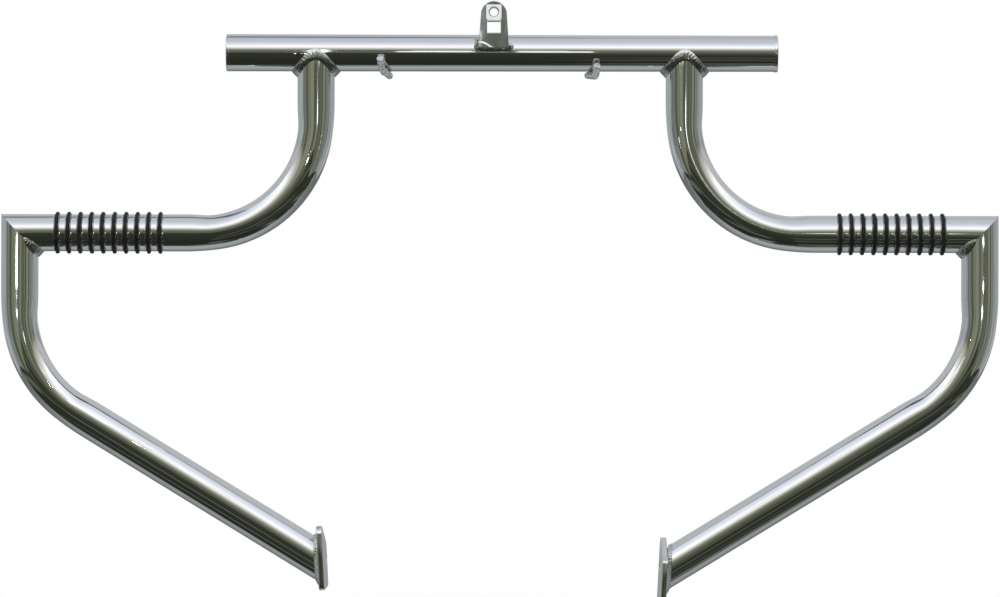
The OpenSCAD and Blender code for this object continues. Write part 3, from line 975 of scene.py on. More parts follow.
def cut_plate(name, outlines, thick, edge):
    """A flat plate cut to outlines, with its rims rounded. It lies in XY, from 0 up to thick."""
    curve = bpy.data.curves.new(name, "CURVE")
    curve.dimensions = "2D"
    curve.fill_mode = "BOTH"
    curve.extrude = thick / 2 - edge
    curve.bevel_depth = edge
    curve.bevel_resolution = 3
    curve.offset = -edge
    for outline in outlines:
        spline = curve.splines.new("POLY")
        spline.points.add(len(outline) - 1)
        for point, (x, y) in zip(spline.points, outline):
            point.co = (x, y, 0.0, 1.0)
        spline.use_cyclic_u = True
    holder = new_object(name, curve)
    mesh = plain_mesh(holder)
    bpy.data.objects.remove(holder)
    mesh.transform(Matrix.Translation((0, 0, thick / 2)))
    return mesh


class CRASH_OT_plates(bpy.types.Operator):
    """Makes the mounting plates"""

    bl_idname = "crash.plates"
    bl_label = "Mounting plates"

    def execute(self, context):
        s = context.scene.crash_plates
        outline = rolled(
            [
                (s.corner, s.corner, s.corner),
                (s.depth - s.corner, s.corner, s.corner),
                (s.depth - s.corner, s.short - s.corner, s.corner),
                (s.tall_corner, s.tall - s.tall_corner, s.tall_corner),
            ]
        )
        rear = s.depth - s.front
        for side in SIDES:
            at, normal = plate_seat(context, side)
            below = plate_below(s, side)
            if side == "left":
                rim = [(x - s.front, y - below) for x, y in outline]
            else:
                rim = [(rear - x, y - below) for x, y in reversed(outline)]
            hole = list(reversed(circle(rear - s.bolt_edge, 0.0, s.bolt / 2)))
            mesh = cut_plate(f"mount_plate_{side}_cut", [rim, hole], s.thick, s.edge)
            # outline's x runs to the rear, its y up, and its thickness outwards
            axes = Matrix(((0, 0, 1, 0), (1, 0, 0, 0), (0, 1, 0, 0), (0, 0, 0, 1)))
            push = Matrix.Translation((-s.thick - GAP, 0, 0))
            mesh.transform(plate_turn(context).to_4x4() @ push @ axes)
            if side == "left":
                mesh.transform(Matrix.Scale(-1, 4, (1, 0, 0)))
            mesh.transform(Matrix.Translation(at))
            finish_faces(mesh, 30, normal)
            finish = piece_material("Plate chrome")
            place(f"mount_plate_{side}_cut", mesh, "plate_chrome", [f"mount_plate_{side}"], finish)
        return {"FINISHED"}


class CRASH_OT_tab(bpy.types.Operator):
    """Makes the bolt tab and dresses the clip nut on it"""

    bl_idname = "crash.tab"
    bl_label = "Bolt tab"

    def execute(self, context):
        s = context.scene.crash_tab
        foot_r = 1.5 * MM
        half = s.foot / 2 - foot_r
        outline = rolled(
            [
                (-half, TAB_LOW.z + foot_r, foot_r),
                (half, TAB_LOW.z + foot_r, foot_r),
                (0.0, s.rise - s.top_radius, s.top_radius),
            ]
        )
        corner_r = 0.6 * MM
        side_x = s.window / 2 - corner_r
        top, bottom = -s.window_drop - corner_r, -s.window_drop - s.window_tall + corner_r
        corners = [(-side_x, bottom), (side_x, bottom), (side_x, top), (-side_x, top)]
        window = rolled([(x, y, corner_r) for x, y in corners], 18)
        hole = circle(0.0, 0.0, s.bolt / 2)
        outlines = [outline, list(reversed(window)), list(reversed(hole))]
        mesh = cut_plate("bolt_tab", outlines, TAB_HIGH.y - TAB_LOW.y, s.edge)
        # the cut plate stands up, its thickness running forward from the back face
        mesh.transform(Matrix.Rotation(math.radians(90), 4, "X"))
        mesh.transform(Matrix.Translation((0, TAB_HIGH.y, 0)))
        finish_faces(mesh, 30, Vector((0, 1, 0)))
        place("bolt_tab", mesh, "tab_chrome", ["centre_tab"], piece_material("Tab chrome"))
        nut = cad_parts["clip_nut"]
        nut.data.materials.clear()
        nut.data.materials.append(piece_material("Clip zinc"))
        return {"FINISHED"}


# Rings


def ring_tree():
    """A row of rings along X, each a little turned and leant."""
    group, tree, given = shape_tree(
        "Grip rings",
        [
            ("Count", "NodeSocketInt", 10),
            ("Start", "NodeSocketVector", None),
            ("Step", "NodeSocketVector", None),
            ("Ring radius", "NodeSocketFloat", 0.016),
            ("Section", "NodeSocketFloat", 0.004),
            ("Lean", "NodeSocketFloat", 0.01),
            ("Seed", "NodeSocketInt", 3),
            ("Material", "NodeSocketMaterial", None),
        ],
    )
    spots = tree.node(
        "GeometryNodeMeshLine", {"mode": "OFFSET", "count_mode": "TOTAL"},
        {"Count": given["Count"], "Start Location": given["Start"], "Offset": given["Step"]},
    )
    loop = round_curve(tree, 96, given["Ring radius"])
    section = round_curve(tree, 24, given["Section"] * 0.5)
    ring = tree.node(
        "GeometryNodeCurveToMesh", None, {"Curve": loop, "Profile Curve": section}
    )
    upright = tree.node(
        "GeometryNodeTransform", None, {0: ring, "Rotation": (0.0, math.pi / 2, 0.0)}
    )
    lean, sway = (
        tree.node(
            "FunctionNodeRandomValue", {"data_type": "FLOAT"},
            {2: -given["Lean"], 3: given["Lean"], "ID": tree.node("GeometryNodeInputIndex"), "Seed": seed},
            output=1,
        )
        for seed in (given["Seed"], given["Seed"] + 7.0)
    )
    spin = tree.node("ShaderNodeCombineXYZ", None, {"X": 0.0, "Y": lean, "Z": sway})
    placed = tree.node(
        "GeometryNodeInstanceOnPoints", None, {"Points": spots, "Instance": upright, "Rotation": spin}
    )
    close_tree(tree, placed, given["Material"])
    return group


class CRASH_OT_rings(bpy.types.Operator):
    """Makes the rubber rings on both grips"""

    bl_idname = "crash.rings"
    bl_label = "Grip rings"

    def execute(self, context):
        s = context.scene.crash_rings
        group = ring_tree()
        for side in SIDES:
            places = RING_PLACES[side]
            sign = SIGN[side]
            base = bpy.data.meshes.new(f"rings_{side}_start")
            mesh = grown(
                f"grip_rings_{side}", base, group,
                {
                    "Count": s.count,
                    "Start": (places[0], AXIS_Y, GRIP_Z),
                    "Step": (sign * s.pitch, 0.0, 0.0),
                    "Ring radius": TUBE_R + s.proud - s.section / 2,
                    "Section": s.section,
                    "Lean": s.lean,
                    "Seed": 3 if side == "left" else 11,
                    "Material": piece_material("Ring rubber"),
                },
            )
            nodes = [f"grip_ring_{side}_{i:02d}" for i in range(1, 11)]
            place(f"grip_rings_{side}", mesh, "ring_rubber", nodes)
        return {"FINISHED"}


# Welds


def bead_tree():
    """Raises ripples and lumps on a plain bead. The bead carries along and crown."""
    group, tree, given = shape_tree(
        "Weld bead",
        [
            ("Ripple", "NodeSocketFloat", 0.0026),
            ("Ripple height", "NodeSocketFloat", 0.0003),
            ("Lumps", "NodeSocketFloat", 0.0005),
            ("Seed", "NodeSocketFloat", 0.0),
            ("Material", "NodeSocketMaterial", None),
        ],
    )
    along = tree.attribute("along")
    crown = tree.attribute("crown")
    here = tree.node("GeometryNodeInputPosition")
    facing = tree.node("GeometryNodeInputNormal")
    # each ripple bows ahead in the bead's middle
    phase = (along + crown * given["Ripple"] * 0.8) / given["Ripple"]
    wave = abs(tree.node("ShaderNodeMath", {"operation": "SINE"}, {0: phase * math.pi}))
    uneven = tree.node(
        "ShaderNodeTexNoise", {"noise_dimensions": "4D"},
        {"Vector": here, "W": given["Seed"], "Scale": 240.0, "Detail": 2.0},
    )
    rise = (wave - 0.6) * given["Ripple height"] + (uneven - 0.5) * given["Lumps"] * 2.0
    lift = tree.vector("SCALE", facing, scale=rise * crown)
    shaped = tree.node("GeometryNodeSetPosition", None, {0: given["Geometry"], "Offset": lift})
    close_tree(tree, shaped, given["Material"])
    return group


def bead_mesh(name, stations, closed, steps):
    """Lofts a bead. A station is (seam, toe, toe, out, bulge, extra points behind)."""
    rings, weights = [], []
    widest = max(station[4] for station in stations)
    for seam, a, b, out, bulge, behind in stations:
        share = 0.3 + 0.7 * bulge / widest
        ring, weight = [seam, a], [0.0, 0.0]
        for i in range(1, steps):
            t = i / steps
            ring.append(a + (b - a) * t + out * (bulge * 4 * t * (1 - t)))
            weight.append(math.sin(math.pi * t) * share)
        ring += [b] + list(behind)
        weight += [0.0] * (1 + len(behind))
        rings.append(ring)
        weights.append(weight)
    k, n = len(rings[0]), len(rings)
    points = [p for ring in rings for p in ring]
    faces = []
    for i in range(n if closed else n - 1):
        for j in range(k):
            a, b = i * k, ((i + 1) % n) * k
            faces.append((a + j, b + j, b + (j + 1) % k, a + (j + 1) % k))
    if not closed:
        faces.append(tuple(range(k)))
        faces.append(tuple(reversed(range((n - 1) * k, n * k))))
    mesh = mesh_of(name, points, faces)
    for label in ("along", "crown"):
        mesh.attributes.new(label, "FLOAT", "POINT")
    along, crown = mesh.attributes["along"], mesh.attributes["crown"]
    run, before = 0.0, None
    for i, ring in enumerate(rings):
        middle = ring[k // 2]
        run += 0.0 if before is None else (middle - before).length
        before = middle
        for j in range(k):
            along.data[i * k + j].value = run
            crown.data[i * k + j].value = weights[i][j]
    face_out(mesh)
    return mesh


def crown_at(s, front):
    """A bead's bulge, full at the front and small at the flanks."""
    return s.crown * (s.flank + (1 - s.flank) * front)


def tee_stations(side, s, count=260):
    """Round a saddle joint: the seam of two equal tubes, rounded where it turns."""
    r, soft, leg = TUBE_R + GAP, 2 * MM, s.leg
    sign = SIGN[side]
    x0 = on_side(side, UPPER_X)
    stations = []
    for i in range(count):
        u = 2 * math.pi * i / count
        # stations lie closest at the front and the back
        t = u + 0.2 * math.sin(2 * u)
        x, y = r * math.cos(t), r * math.sin(t)
        z = -math.sqrt(r * r + soft * soft - y * y)
        down = -math.hypot(x, soft + leg) - s.flank_drop * math.cos(t) ** 2
        bar = math.atan2(z, y)
        turn = (y * y * math.cos(t) / -z - z * math.cos(t)) * r / (y * y + z * z)
        size = math.hypot(turn * r, r * math.sin(t))
        ax, ay = turn * r / size, r * math.sin(t) / size

        def on_bar(d):
            g = bar + d * ay / r
            return (x + d * ax, r * math.cos(g), r * math.sin(g))

        leg_out = Vector((math.cos(t), math.sin(t), 0)) + Vector((0, y, z)).normalized()
        out = leg_out.normalized()

        def put(p):
            return Vector((x0 + sign * p[0], AXIS_Y + p[1], BAR_Z + p[2]))

        stations.append(
            (
                put((x, y, z)),
                put((x, y, down)),
                put(on_bar(leg)),
                Vector((sign * out.x, out.y, out.z)),
                crown_at(s, abs(math.sin(t))),
                [put(on_bar(leg / 2))],
            )
        )
    return stations


def mitre_stations(side, s, count=110):
    """Round the inner half of a mitre, running out at the front and the back."""
    r = TUBE_R + GAP
    sign = SIGN[side]
    x0 = on_side(side, OUTER_X)
    # degrees to each side of the inner corner: where the bead stops, and where it would be nought
    stop, fade = 74, 75
    stations = []
    for i in range(count + 1):
        q = math.radians(stop * (2 * i / count - 1))
        w, y = r * math.cos(q), r * math.sin(q)
        run_out = math.sqrt(1 - (math.degrees(q) / fade) ** 4)
        reach = s.leg * math.sqrt(1 + math.sin(q) ** 2) * run_out
        out = Vector((-math.cos(q), 2 * math.sin(q), -math.cos(q))).normalized()

        def put(p):
            return Vector((x0 + sign * p[0], AXIS_Y + p[1], GRIP_Z + p[2]))

        stations.append(
            (
                put((-w, y, -w)),
                put((-w, y, -w - reach)),
                put((-w - reach, y, -w)),
                Vector((sign * out.x, out.y, out.z)),
                crown_at(s, abs(math.sin(q))) * math.cos(q / 2) * run_out,
                [],
            )
        )
    return stations


def plate_stations(context, side, leg, crown, count=200):
    """Round the slanting tube where it meets the plate. The foot stays on the plate."""
    s = context.scene.crash_plates
    rise = plate_edge(s, side, 1) - plate_edge(s, side, 0)
    turn = plate_turn(context)
    r = TUBE_R + GAP
    slope = context.scene.crash_tubes.slope
    at, normal = plate_seat(context, side)
    sign = SIGN[side]
    axis = Vector((sign * math.cos(slope), 0, math.sin(slope)))
    up = Vector((-sign * math.sin(slope), 0, math.cos(slope)))
    rear, above = (turn @ Vector(v) for v in ((0, 1, 0), (0, 0, 1)))
    rear.x, above.x = sign * rear.x, sign * above.x
    stations = []
    for i in range(count):
        q = 2 * math.pi * i / count
        radial = math.cos(q) * up + math.sin(q) * Vector((0, 1, 0))
        start = r * radial
        seam = at + start + axis * ((GAP - start.dot(normal)) / axis.dot(normal))
        flat = (radial - normal * radial.dot(normal)).normalized()
        gain = flat.dot(above) - rise * flat.dot(rear)
        arm = seam - at
        room = plate_edge(s, side, arm.dot(rear)) - arm.dot(above)
        foot = min(leg, room / gain) if gain > 0 else leg
        foot = max(leg / 5, foot)
        out = (flat + axis).normalized()
        stations.append((seam, seam + leg * axis, seam + foot * flat, out, crown, []))
    return stations


def tab_stations(sizes, leg, crown):
    """Down both sides of the tab's foot and along its lower edge."""
    r = TUBE_R + GAP
    half, foot = sizes.foot / 2 + GAP, TAB_LOW.z - GAP
    corner, left_top, right_rise = 3 * MM, 9.4 * MM, 1.6 * MM
    level, run = foot + corner, 2 * (half - corner)
    # each point has its place, the way out of the tab, and a share of the bead's full size
    line = []
    for k in range(15):
        share = min(1.0, 0.25 + k / 5)
        line.append((-half, level + (left_top - corner) * (1 - k / 14), -1.0, 0.0, share))
    quarter = [(math.cos(a), math.sin(a)) for a in (math.radians(90 * k / 8) for k in range(9))]
    for c, s in quarter[1:]:
        line.append((corner * (1 - c) - half, level - corner * s, -c, -s, 1.0))
    for k in range(1, 30):
        line.append((corner - half + run * k / 30, foot, 0.0, -1.0, 1.0))
    for c, s in quarter:
        line.append((half - corner * (1 - s), level - corner * c, s, -c, 1.0))
    for k in range(1, 6):
        line.append((half, level + right_rise * k / 5, 1.0, 0.0, max(0.25, 1 - k / 6)))
    depth = TAB_HIGH.y - TAB_LOW.y
    stations = []
    for x, z, ox, oz, share in line:
        d = leg * share
        x1, z1 = x + d * ox, z + d * oz

        def front(h):
            return AXIS_Y - math.sqrt(max(r * r - (h - BAR_Z) ** 2, 0.0))

        seam = Vector((x, front(z), z))
        toe = Vector((x, TAB_HIGH.y - 0.75 * depth * min(1.0, share * 1.2), z))
        foot_toe = Vector((x1, front(z1), z1))
        out = Vector((ox, -1.0, oz)).normalized()
        stations.append((seam, toe, foot_toe, out, crown * share, []))
    return stations


class CRASH_OT_welds(bpy.types.Operator):
    """Makes the weld beads at every joint"""

    bl_idname = "crash.welds"
    bl_label = "Weld beads"

    def execute(self, context):
        s = context.scene.crash_welds
        group = bead_tree()
        values = {
            "Ripple": s.ripple,
            "Ripple height": s.ripple_height,
            "Lumps": s.lumps,
            "Material": piece_material("Weld chrome"),
        }
        seed, seed_step = 1.0, 3.7
        for side in SIDES:
            beads = {
                f"weld_tee_{side}": (tee_stations(side, s), True),
                f"weld_mitre_{side}": (mitre_stations(side, s), False),
                f"weld_plate_{side}": (
                    plate_stations(context, side, s.plate_leg, crown_at(s, 0.1)), True
                ),
            }
            for node, (stations, closed) in beads.items():
                base = bead_mesh(node + "_base", stations, closed, 12)
                values["Seed"] = seed
                mesh = grown(node + "_bead", base, group, values)
                place(node + "_bead", mesh, "weld_chrome", [node])
                seed += seed_step
            self.hook_weld(context, side, group, dict(values, Seed=seed))
            seed += seed_step
        base = bead_mesh(
            "weld_tab_base", tab_stations(context.scene.crash_tab, s.tab_leg, s.crown), False, 10
        )
        mesh = grown("weld_tab_bead", base, group, dict(values, Seed=seed))
        place("weld_tab_bead", mesh, "weld_chrome", ["weld_tab"])
        return {"FINISHED"}

    def hook_weld(self, context, side, group, values):
        """A short tack that wraps a hook's rod where it lies on the crossbar."""
        low, high, middle = box_of(f"weld_hook_{side}")
        reach = (high - low) / 2
        points = []
        rows, columns = 20, 36
        for i in range(rows + 1):
            a = math.pi * i / rows
            for j in range(columns):
                b = 2 * math.pi * j / columns
                n = Vector((math.sin(a) * math.cos(b), math.sin(a) * math.sin(b), math.cos(a)))
                points.append(middle + Vector((n.x * reach.x, n.y * reach.y, n.z * reach.z)))
        faces = wrap_faces(rows, columns)
        mesh = finish_faces(mesh_of(f"weld_hook_{side}_base", points, faces))
        mesh.attributes.new("along", "FLOAT", "POINT")
        mesh.attributes.new("crown", "FLOAT", "POINT")
        for i, vertex in enumerate(mesh.vertices):
            mesh.attributes["along"].data[i].value = vertex.co.x - low.x
            mesh.attributes["crown"].data[i].value = 0.5
        made = grown(f"weld_hook_{side}_bead", mesh, group, values)
        place(f"weld_hook_{side}_bead", made, "weld_chrome", [f"weld_hook_{side}"])


# Hooks


class CRASH_OT_hooks(bpy.types.Operator):
    """Makes the two bent rods under the crossbar"""

    bl_idname = "crash.hooks"
    bl_label = "Hooks"

    def execute(self, context):
        s = context.scene.crash_hooks
        lie = {"left": (-s.left_x, s.left_turn), "right": (s.right_x, s.right_turn)}
        for side, (x, turn) in lie.items():
            touch = (TUBE_R + s.rod / 2 + GAP) * Vector((0, -math.sin(turn), -math.cos(turn)))
            lead = Vector((0, -math.cos(turn), math.sin(turn)))
            skew = Vector((s.skew / 2, 0, 0))
            root = touch - s.tail * lead - skew
            elbow = touch + s.lead * lead + skew
            end = elbow + Vector((s.splay, -s.tip * math.sin(s.lean), s.tip * math.cos(s.lean)))
            points = bent_line(root, elbow, end, s.bend)
            mesh = rod_mesh(f"hook_{side}_rod", points, s.rod / 2, s.tip_round)
            if side == "left":
                mesh.transform(Matrix.Scale(-1, 4, (1, 0, 0)))
            mesh.transform(Matrix.Translation((x, AXIS_Y, BAR_Z)))
            finish_faces(mesh, 40)
            finish = piece_material("Hook plate")
            place(f"hook_{side}_rod", mesh, "hook_chrome", [f"hook_{side}"], finish)
        return {"FINISHED"}


def bent_line(root, elbow, end, radius):
    """Points from root to end with a round bend in place of the elbow."""
    a, b = (elbow - root).normalized(), (end - elbow).normalized()
    turn = a.angle(b)
    tangent = radius * math.tan(turn / 2)
    start = elbow - a * tangent
    centre_way = (b - a * a.dot(b)).normalized()
    centre = start + centre_way * radius
    line = [root + (start - root) * k / 8 for k in range(9)]
    for k in range(1, 13):
        t = turn * k / 12
        line.append(centre - centre_way * radius * math.cos(t) + a * radius * math.sin(t))
    stop = elbow + b * tangent
    line += [stop + (end - stop) * k / 8 for k in range(1, 9)]
    return line


def rod_mesh(name, line, radius, tip_round, count=40):
    """A round rod along a line with rounded ends."""
    points = []
    first = (line[1] - line[0]).normalized()
    side = first.cross(Vector((1, 0, 0))).normalized()
    shape = [(0.0, 0.0), (0.0, radius * 0.5)]
    for k in range(6):
        a = math.radians(90 * k / 5)
        shape.append((tip_round * (1 - math.cos(a)), radius - tip_round * (1 - math.sin(a))))
    stations = [(line[0] + first * d, first, r) for d, r in shape]
    for before, here, after in zip(line, line[1:], line[2:]):
        stations.append((here, (after - before).normalized(), radius))
    last = (line[-1] - line[-2]).normalized()
    stations += [(line[-1] - last * d, last, r) for d, r in reversed(shape)]
    for at, way, r in stations:
        side = (side - way * side.dot(way)).normalized()
        other = way.cross(side)
        for j in range(count):
            a = 2 * math.pi * j / count
            points.append(at + (side * math.cos(a) + other * math.sin(a)) * r)
    return mesh_of(name, points, wrap_faces(len(stations) - 1, count))


# Stage


def studio_world(world):
    """White behind the bars, and in their reflections the room that stands before them."""
    world.use_nodes = True
    world.node_tree.nodes.clear()
    tree = Tree(world.node_tree)
    way = tree.node("ShaderNodeTexCoord", None, None, output="Generated")
    x, y, z = tree.split(way, 0, 1, 2)
    # both in degrees: the height over the horizon, and the way round from straight ahead
    height = z.maths("ARCSINE", z) * (180 / math.pi)
    round_to = x.maths("ARCTAN2", x, -y) * (180 / math.pi)

    def ramp(value, low, high, stops):
        place = (value - low) / (high - low)
        return tree.node(
            "ShaderNodeValToRGB",
            {"stops": [((v - low) / (high - low), shown(*c)) for v, c in stops]},
            {0: place},
        )

    # each stop is a place in degrees and the colour that shows there
    ceiling_front = ramp(height, 14, 90, [
        (14, (128, 128, 112)), (18, (150, 148, 136)), (24, (186, 184, 174)), (29, (218, 216, 210)),
        (34, (255, 254, 252)), (42, (250, 251, 254)), (50, (230, 233, 241)), (58, (211, 216, 226)),
        (67, (197, 203, 210)), (75, (189, 195, 200)), (90, (186, 191, 195)),
    ])
    ceiling_back = ramp(height, 10, 90, [
        (10, (178, 180, 182)), (40, (172, 176, 178)), (56, (178, 181, 182)), (59, (180, 183, 184)),
        (61.5, (92, 101, 104)), (70, (90, 100, 103)), (73.5, (168, 174, 177)), (90, (186, 191, 196)),
    ])
    plain_back = ramp(height, 10, 90, [
        (10, (178, 180, 182)), (56, (178, 181, 182)), (64, (164, 168, 170)), (76, (184, 188, 192)),
        (90, (186, 191, 196)),
    ])
    ceiling_back = tree.blend(x.above(0.005, 0.05), ceiling_back, plain_back)
    floor_front = ramp(height, -90, 0, [
        (-90, (146, 150, 147)), (-88, (118, 122, 118)), (-86, (84, 88, 82)), (-84, (54, 57, 50)),
        (-81, (42, 45, 38)), (-66, (36, 38, 31)), (-40, (40, 44, 35)), (-14, (44, 48, 39)),
        (-5, (50, 54, 43)), (0, (44, 48, 36)),
    ])
    boards = ramp(height, -90, 0, [
        (-90, (150, 154, 150)), (-66, (92, 97, 88)), (-40, (104, 107, 95)), (-14, (92, 95, 78)),
        (0, (80, 84, 68)),
    ])
    floor_back = ramp(height, -90, 0, [
        (-90, (150, 154, 152)), (-84, (153, 157, 157)), (-75, (158, 162, 163)), (-62, (151, 156, 156)),
        (-49, (136, 140, 139)), (-34, (108, 111, 109)), (-12, (98, 101, 98)), (0, (150, 154, 156)),
    ])
    wall = ramp(round_to, -180, 180, [
        (-180, (164, 167, 169)), (-120, (154, 159, 162)), (-92, (152, 158, 161)), (-84, (104, 109, 106)),
        (-70, (114, 118, 110)), (-63, (106, 110, 98)), (-57, (72, 76, 64)), (-49, (84, 88, 75)),
        (-44, (112, 115, 96)), (-36, (118, 121, 102)), (-18, (126, 128, 110)), (-10, (104, 106, 92)),
        (-3, (96, 98, 86)), (5, (124, 126, 108)), (12, (116, 119, 104)), (18, (90, 93, 78)),
        (27, (84, 87, 70)), (34, (104, 107, 91)), (41, (72, 75, 64)), (46, (112, 116, 100)),
        (56, (120, 124, 111)), (63, (76, 81, 72)), (68, (116, 120, 108)), (84, (114, 118, 110)),
        (91, (140, 145, 144)), (120, (150, 154, 156)), (180, (164, 167, 169)),
    ])
    # slow streaks make the wall uneven
    streak_place = tree.node(
        "ShaderNodeCombineXYZ", None, {"X": round_to * 0.16, "Y": height * 0.035, "Z": 0.0}
    )
    streaks = noise_at(tree, streak_place, 1.0, 3.0, 0.65)
    clutter = tree.blend(streaks.above(0.5, 0.22), (0.55, 0.56, 0.55, 1.0), (1.4, 1.4, 1.37, 1.0))
    wall = tree.times(wall, clutter)
    # a dark patch straight ahead, low in the wall, for the tab
    tab_dark = 1.0 - abs(round_to + 1.0).above(9.0, 5.0)
    tab_dark = tab_dark * (1.0 - abs(height - 3.5).above(2.5, 2.0))
    wall = tree.blend(tab_dark * 0.75, wall, (*shown(66, 71, 60), 1.0))
    # pale boards on the floor, to both sides of the middle
    board_place = tree.node(
        "ShaderNodeCombineXYZ", None, {"X": x * 2.2, "Y": height * 0.13, "Z": 5.0}
    )
    board_lines = noise_at(tree, board_place, 1.0, 2.0, 0.6)
    boards_from = x.above(0.02, 0.012) + (-x).above(0.13, 0.05)
    boards_seen = board_lines.above(0.57, 0.07) * boards_from * (-height).above(5.0, 3.0)
    floor_front = tree.blend(boards_seen * 0.85, floor_front, boards)
    # the room differs before and behind the bars
    behind = y.above(0.05, 0.12)
    above = tree.blend(behind, ceiling_front, ceiling_back)
    below = tree.blend(behind, floor_front, floor_back)
    # the wall's foot: near the horizon ahead, and far below it at the sides
    turned = abs(round_to)
    aside = turned.above(34.0, 26.0) * (1.0 - turned.above(140.0, 20.0))
    edge = -1.6 - aside * 22.4
    low = (height - edge).above(0.0, 0.6)
    high = height.above(16.5, 3.0)
    room = tree.blend(low, below, wall)
    room = tree.blend(high, room, above)
    # the camera sees white, mirrors see the room, and plain white lights the rest
    rays = tree.node("ShaderNodeLightPath")
    camera, glossy = tree.outputs(rays, "Is Camera Ray", "Is Glossy Ray")
    plain, white, seen = (
        tree.node("ShaderNodeBackground", None, {"Color": tint, "Strength": strength})
        for tint, strength in ((WHITE, 0.85), (WHITE, 1.0), (room, 1.25))
    )
    mixed = tree.node("ShaderNodeMixShader", None, {0: glossy, 1: plain, 2: seen})
    mixed = tree.node("ShaderNodeMixShader", None, {0: camera, 1: mixed, 2: white})
    tree.close("ShaderNodeOutputWorld", mixed)


def floor_material():
    """Pale near the bars, where it takes their shadow, and plain white further off."""
    material, tree = new_material("Pale floor")
    spot = object_place(tree)
    x, y = tree.split(spot, 0, 1)
    far = ((x * x + y * y) ** 0.5).above(0.85, 0.25)
    speck = noise_at(tree, spot, 40.0, 3.0)
    tone = tree.blend(speck, (0.93, 0.93, 0.93, 1.0), (0.96, 0.96, 0.96, 1.0))
    matt = tree.node("ShaderNodeBsdfDiffuse", None, {"Color": tone})
    white = tree.node("ShaderNodeEmission", None, {"Color": WHITE, "Strength": 1.0})
    camera = tree.node("ShaderNodeLightPath", None, None, output="Is Camera Ray")
    mixed = tree.node("ShaderNodeMixShader", None, {0: far * camera, 1: matt, 2: white})
    tree.close("ShaderNodeOutputMaterial", mixed)
    return material


def glow_material(name, tint, strength):
    material, tree = new_material(name)
    light = tree.node("ShaderNodeEmission", None, {"Color": (*tint, 1.0), "Strength": strength})
    tree.close("ShaderNodeOutputMaterial", light)
    return material


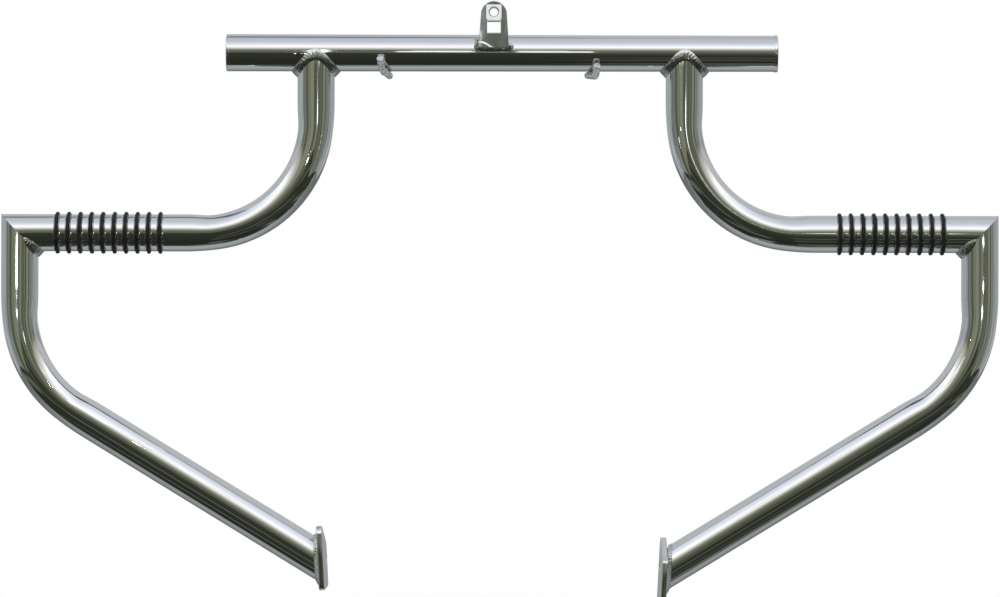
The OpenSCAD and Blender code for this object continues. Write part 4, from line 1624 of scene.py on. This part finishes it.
class CRASH_OT_stage(bpy.types.Operator):
    """Makes the camera, the floor, the world and the lamps"""

    bl_idname = "crash.stage"
    bl_label = "Stage"

    def execute(self, context):
        s = context.scene.crash_stage
        scene = context.scene
        scene.view_settings.view_transform = "Standard"
        data = bpy.data.cameras.new("Camera")
        data.sensor_width = 36.0
        data.lens = 36.0 * s.camera_distance / s.view_width
        data.clip_start, data.clip_end = 0.05, 60.0
        camera = new_object("Camera", data)
        camera.location = (s.aim_x, AXIS_Y - s.camera_distance, s.aim_z)
        camera.rotation_euler = (math.pi / 2, s.roll, 0.0)
        scene.camera = camera

        half_size = 14.0
        corners = [(a * half_size, b * half_size, -s.floor_drop) for a, b in SQUARE]
        floor = new_object("floor", mesh_of("floor", corners, [(0, 1, 2, 3)]))
        floor.data.materials.append(floor_material())
        floor.visible_glossy = False

        world = bpy.data.worlds.new("Studio")
        scene.world = world
        studio_world(world)

        # each lamp has its place, what it points at, its width and its power
        middle = (0.0, 0.0, -0.25)
        self.lamp("Key", (-1.4, -1.6, 1.5), middle, 1.6, 9.0)
        self.lamp("Fill", (1.8, -1.2, 0.6), middle, 1.8, 4.0)
        self.cards()
        return {"FINISHED"}

    def lamp(self, name, at, to, size, power):
        data = bpy.data.lights.new(name, "AREA")
        data.shape, data.size, data.energy = "SQUARE", size, power
        lamp = new_object(name, data)
        lamp.location = at
        lamp.rotation_euler = (Vector(to) - Vector(at)).to_track_quat("-Z", "Y").to_euler()
        lamp.visible_glossy = False

    def cards(self):
        """Small bright cards that only reflections show: the windows and lamps of the room."""
        ahead = 4.0
        near = 0.6
        # place across and up, distance ahead, half sizes, swing about the upright, brightness
        spots = {
            "card_glow_left": (-0.058, 0.031, near, 0.038, 0.034, 0.0, 1.25),
            "card_glow_left_top": (-0.051, 0.09, near, 0.029, 0.025, 0.0, 0.7),
            "card_glow_right": (0.059, 0.026, near, 0.037, 0.039, 0.0, 1.25),
            "card_glow_right_top": (0.047, 0.085, near, 0.025, 0.02, 0.0, 0.7),
            "card_tee": (-0.172, 0.06, near, 0.008, 0.07, 0.0, 5.0),
            "card_flash": (-0.1826, -0.107, near, 0.0016, 0.004, 0.0, 160.0),
            "card_line": (0.66, 0.05, ahead, 0.13, 0.05, 0.0, 2.6),
            "card_left": (-0.55, -0.2085, near, 0.075, 0.025, 31.5, 5.0),
            "card_left_dot": (-0.545, -0.2427, near, 0.04, 0.001, 31.5, 3.0),
            "card_left_spot": (-0.54, -0.2615, near, 0.06, 0.0042, 31.5, 5.0),
            "card_right_top": (0.595, -0.187, near, 0.06, 0.003, -31.5, 6.0),
            "card_right_middle": (0.585, -0.231, near, 0.045, 0.0044, -31.5, 5.0),
            "card_right_low": (0.52, -0.257, near, 0.05, 0.006, -31.5, 4.0),
        }
        for name, (x, z, ahead_by, half_x, half_z, swing, strength) in spots.items():
            turn = math.radians(swing)
            run = Vector((math.cos(turn), math.sin(turn), 0)) * half_x
            middle = Vector((x, AXIS_Y - ahead_by, z))
            points = [middle + run * a + Vector((0, 0, half_z * b)) for a, b in SQUARE]
            panel = new_object(name, mesh_of(name, points, [(0, 3, 2, 1)]))
            panel.data.materials.append(glow_material(name + "_glow", (0.97, 0.985, 1.0), strength))
            panel.visible_camera = False
            panel.visible_diffuse = False
            panel.visible_shadow = False
            panel.visible_transmission = False


class CRASH_PT_panel(bpy.types.Panel):
    """Sizes, colours and the steps that build the bars"""

    bl_label = "Crash Bars"
    bl_idname = "CRASH_PT_panel"
    bl_space_type = "VIEW_3D"
    bl_region_type = "UI"
    bl_category = "Crash Bars"

    def draw(self, context):
        for key, group in GROUPS.items():
            part = self.layout.box()
            part.label(text=group.__name__)
            for name in group.__annotations__:
                part.prop(getattr(context.scene, key), name)
        for operator in STEPS:
            self.layout.operator(operator.bl_idname)


STEPS = (
    CRASH_OT_stage,
    CRASH_OT_finishes,
    CRASH_OT_tubes,
    CRASH_OT_plates,
    CRASH_OT_tab,
    CRASH_OT_rings,
    CRASH_OT_welds,
    CRASH_OT_hooks,
)
CLASSES = (*GROUPS.values(), *STEPS, CRASH_PT_panel)


def register():
    for cls in CLASSES:
        bpy.utils.register_class(cls)
    for key, group in GROUPS.items():
        setattr(bpy.types.Scene, key, PointerProperty(type=group))


def unregister():
    for key in GROUPS:
        delattr(bpy.types.Scene, key)
    for cls in reversed(CLASSES):
        bpy.utils.unregister_class(cls)


def main():
    register()
    for step in STEPS:
        group, name = step.bl_idname.split(".")
        getattr(getattr(bpy.ops, group), name)()


if __name__ == "__main__":
    main()
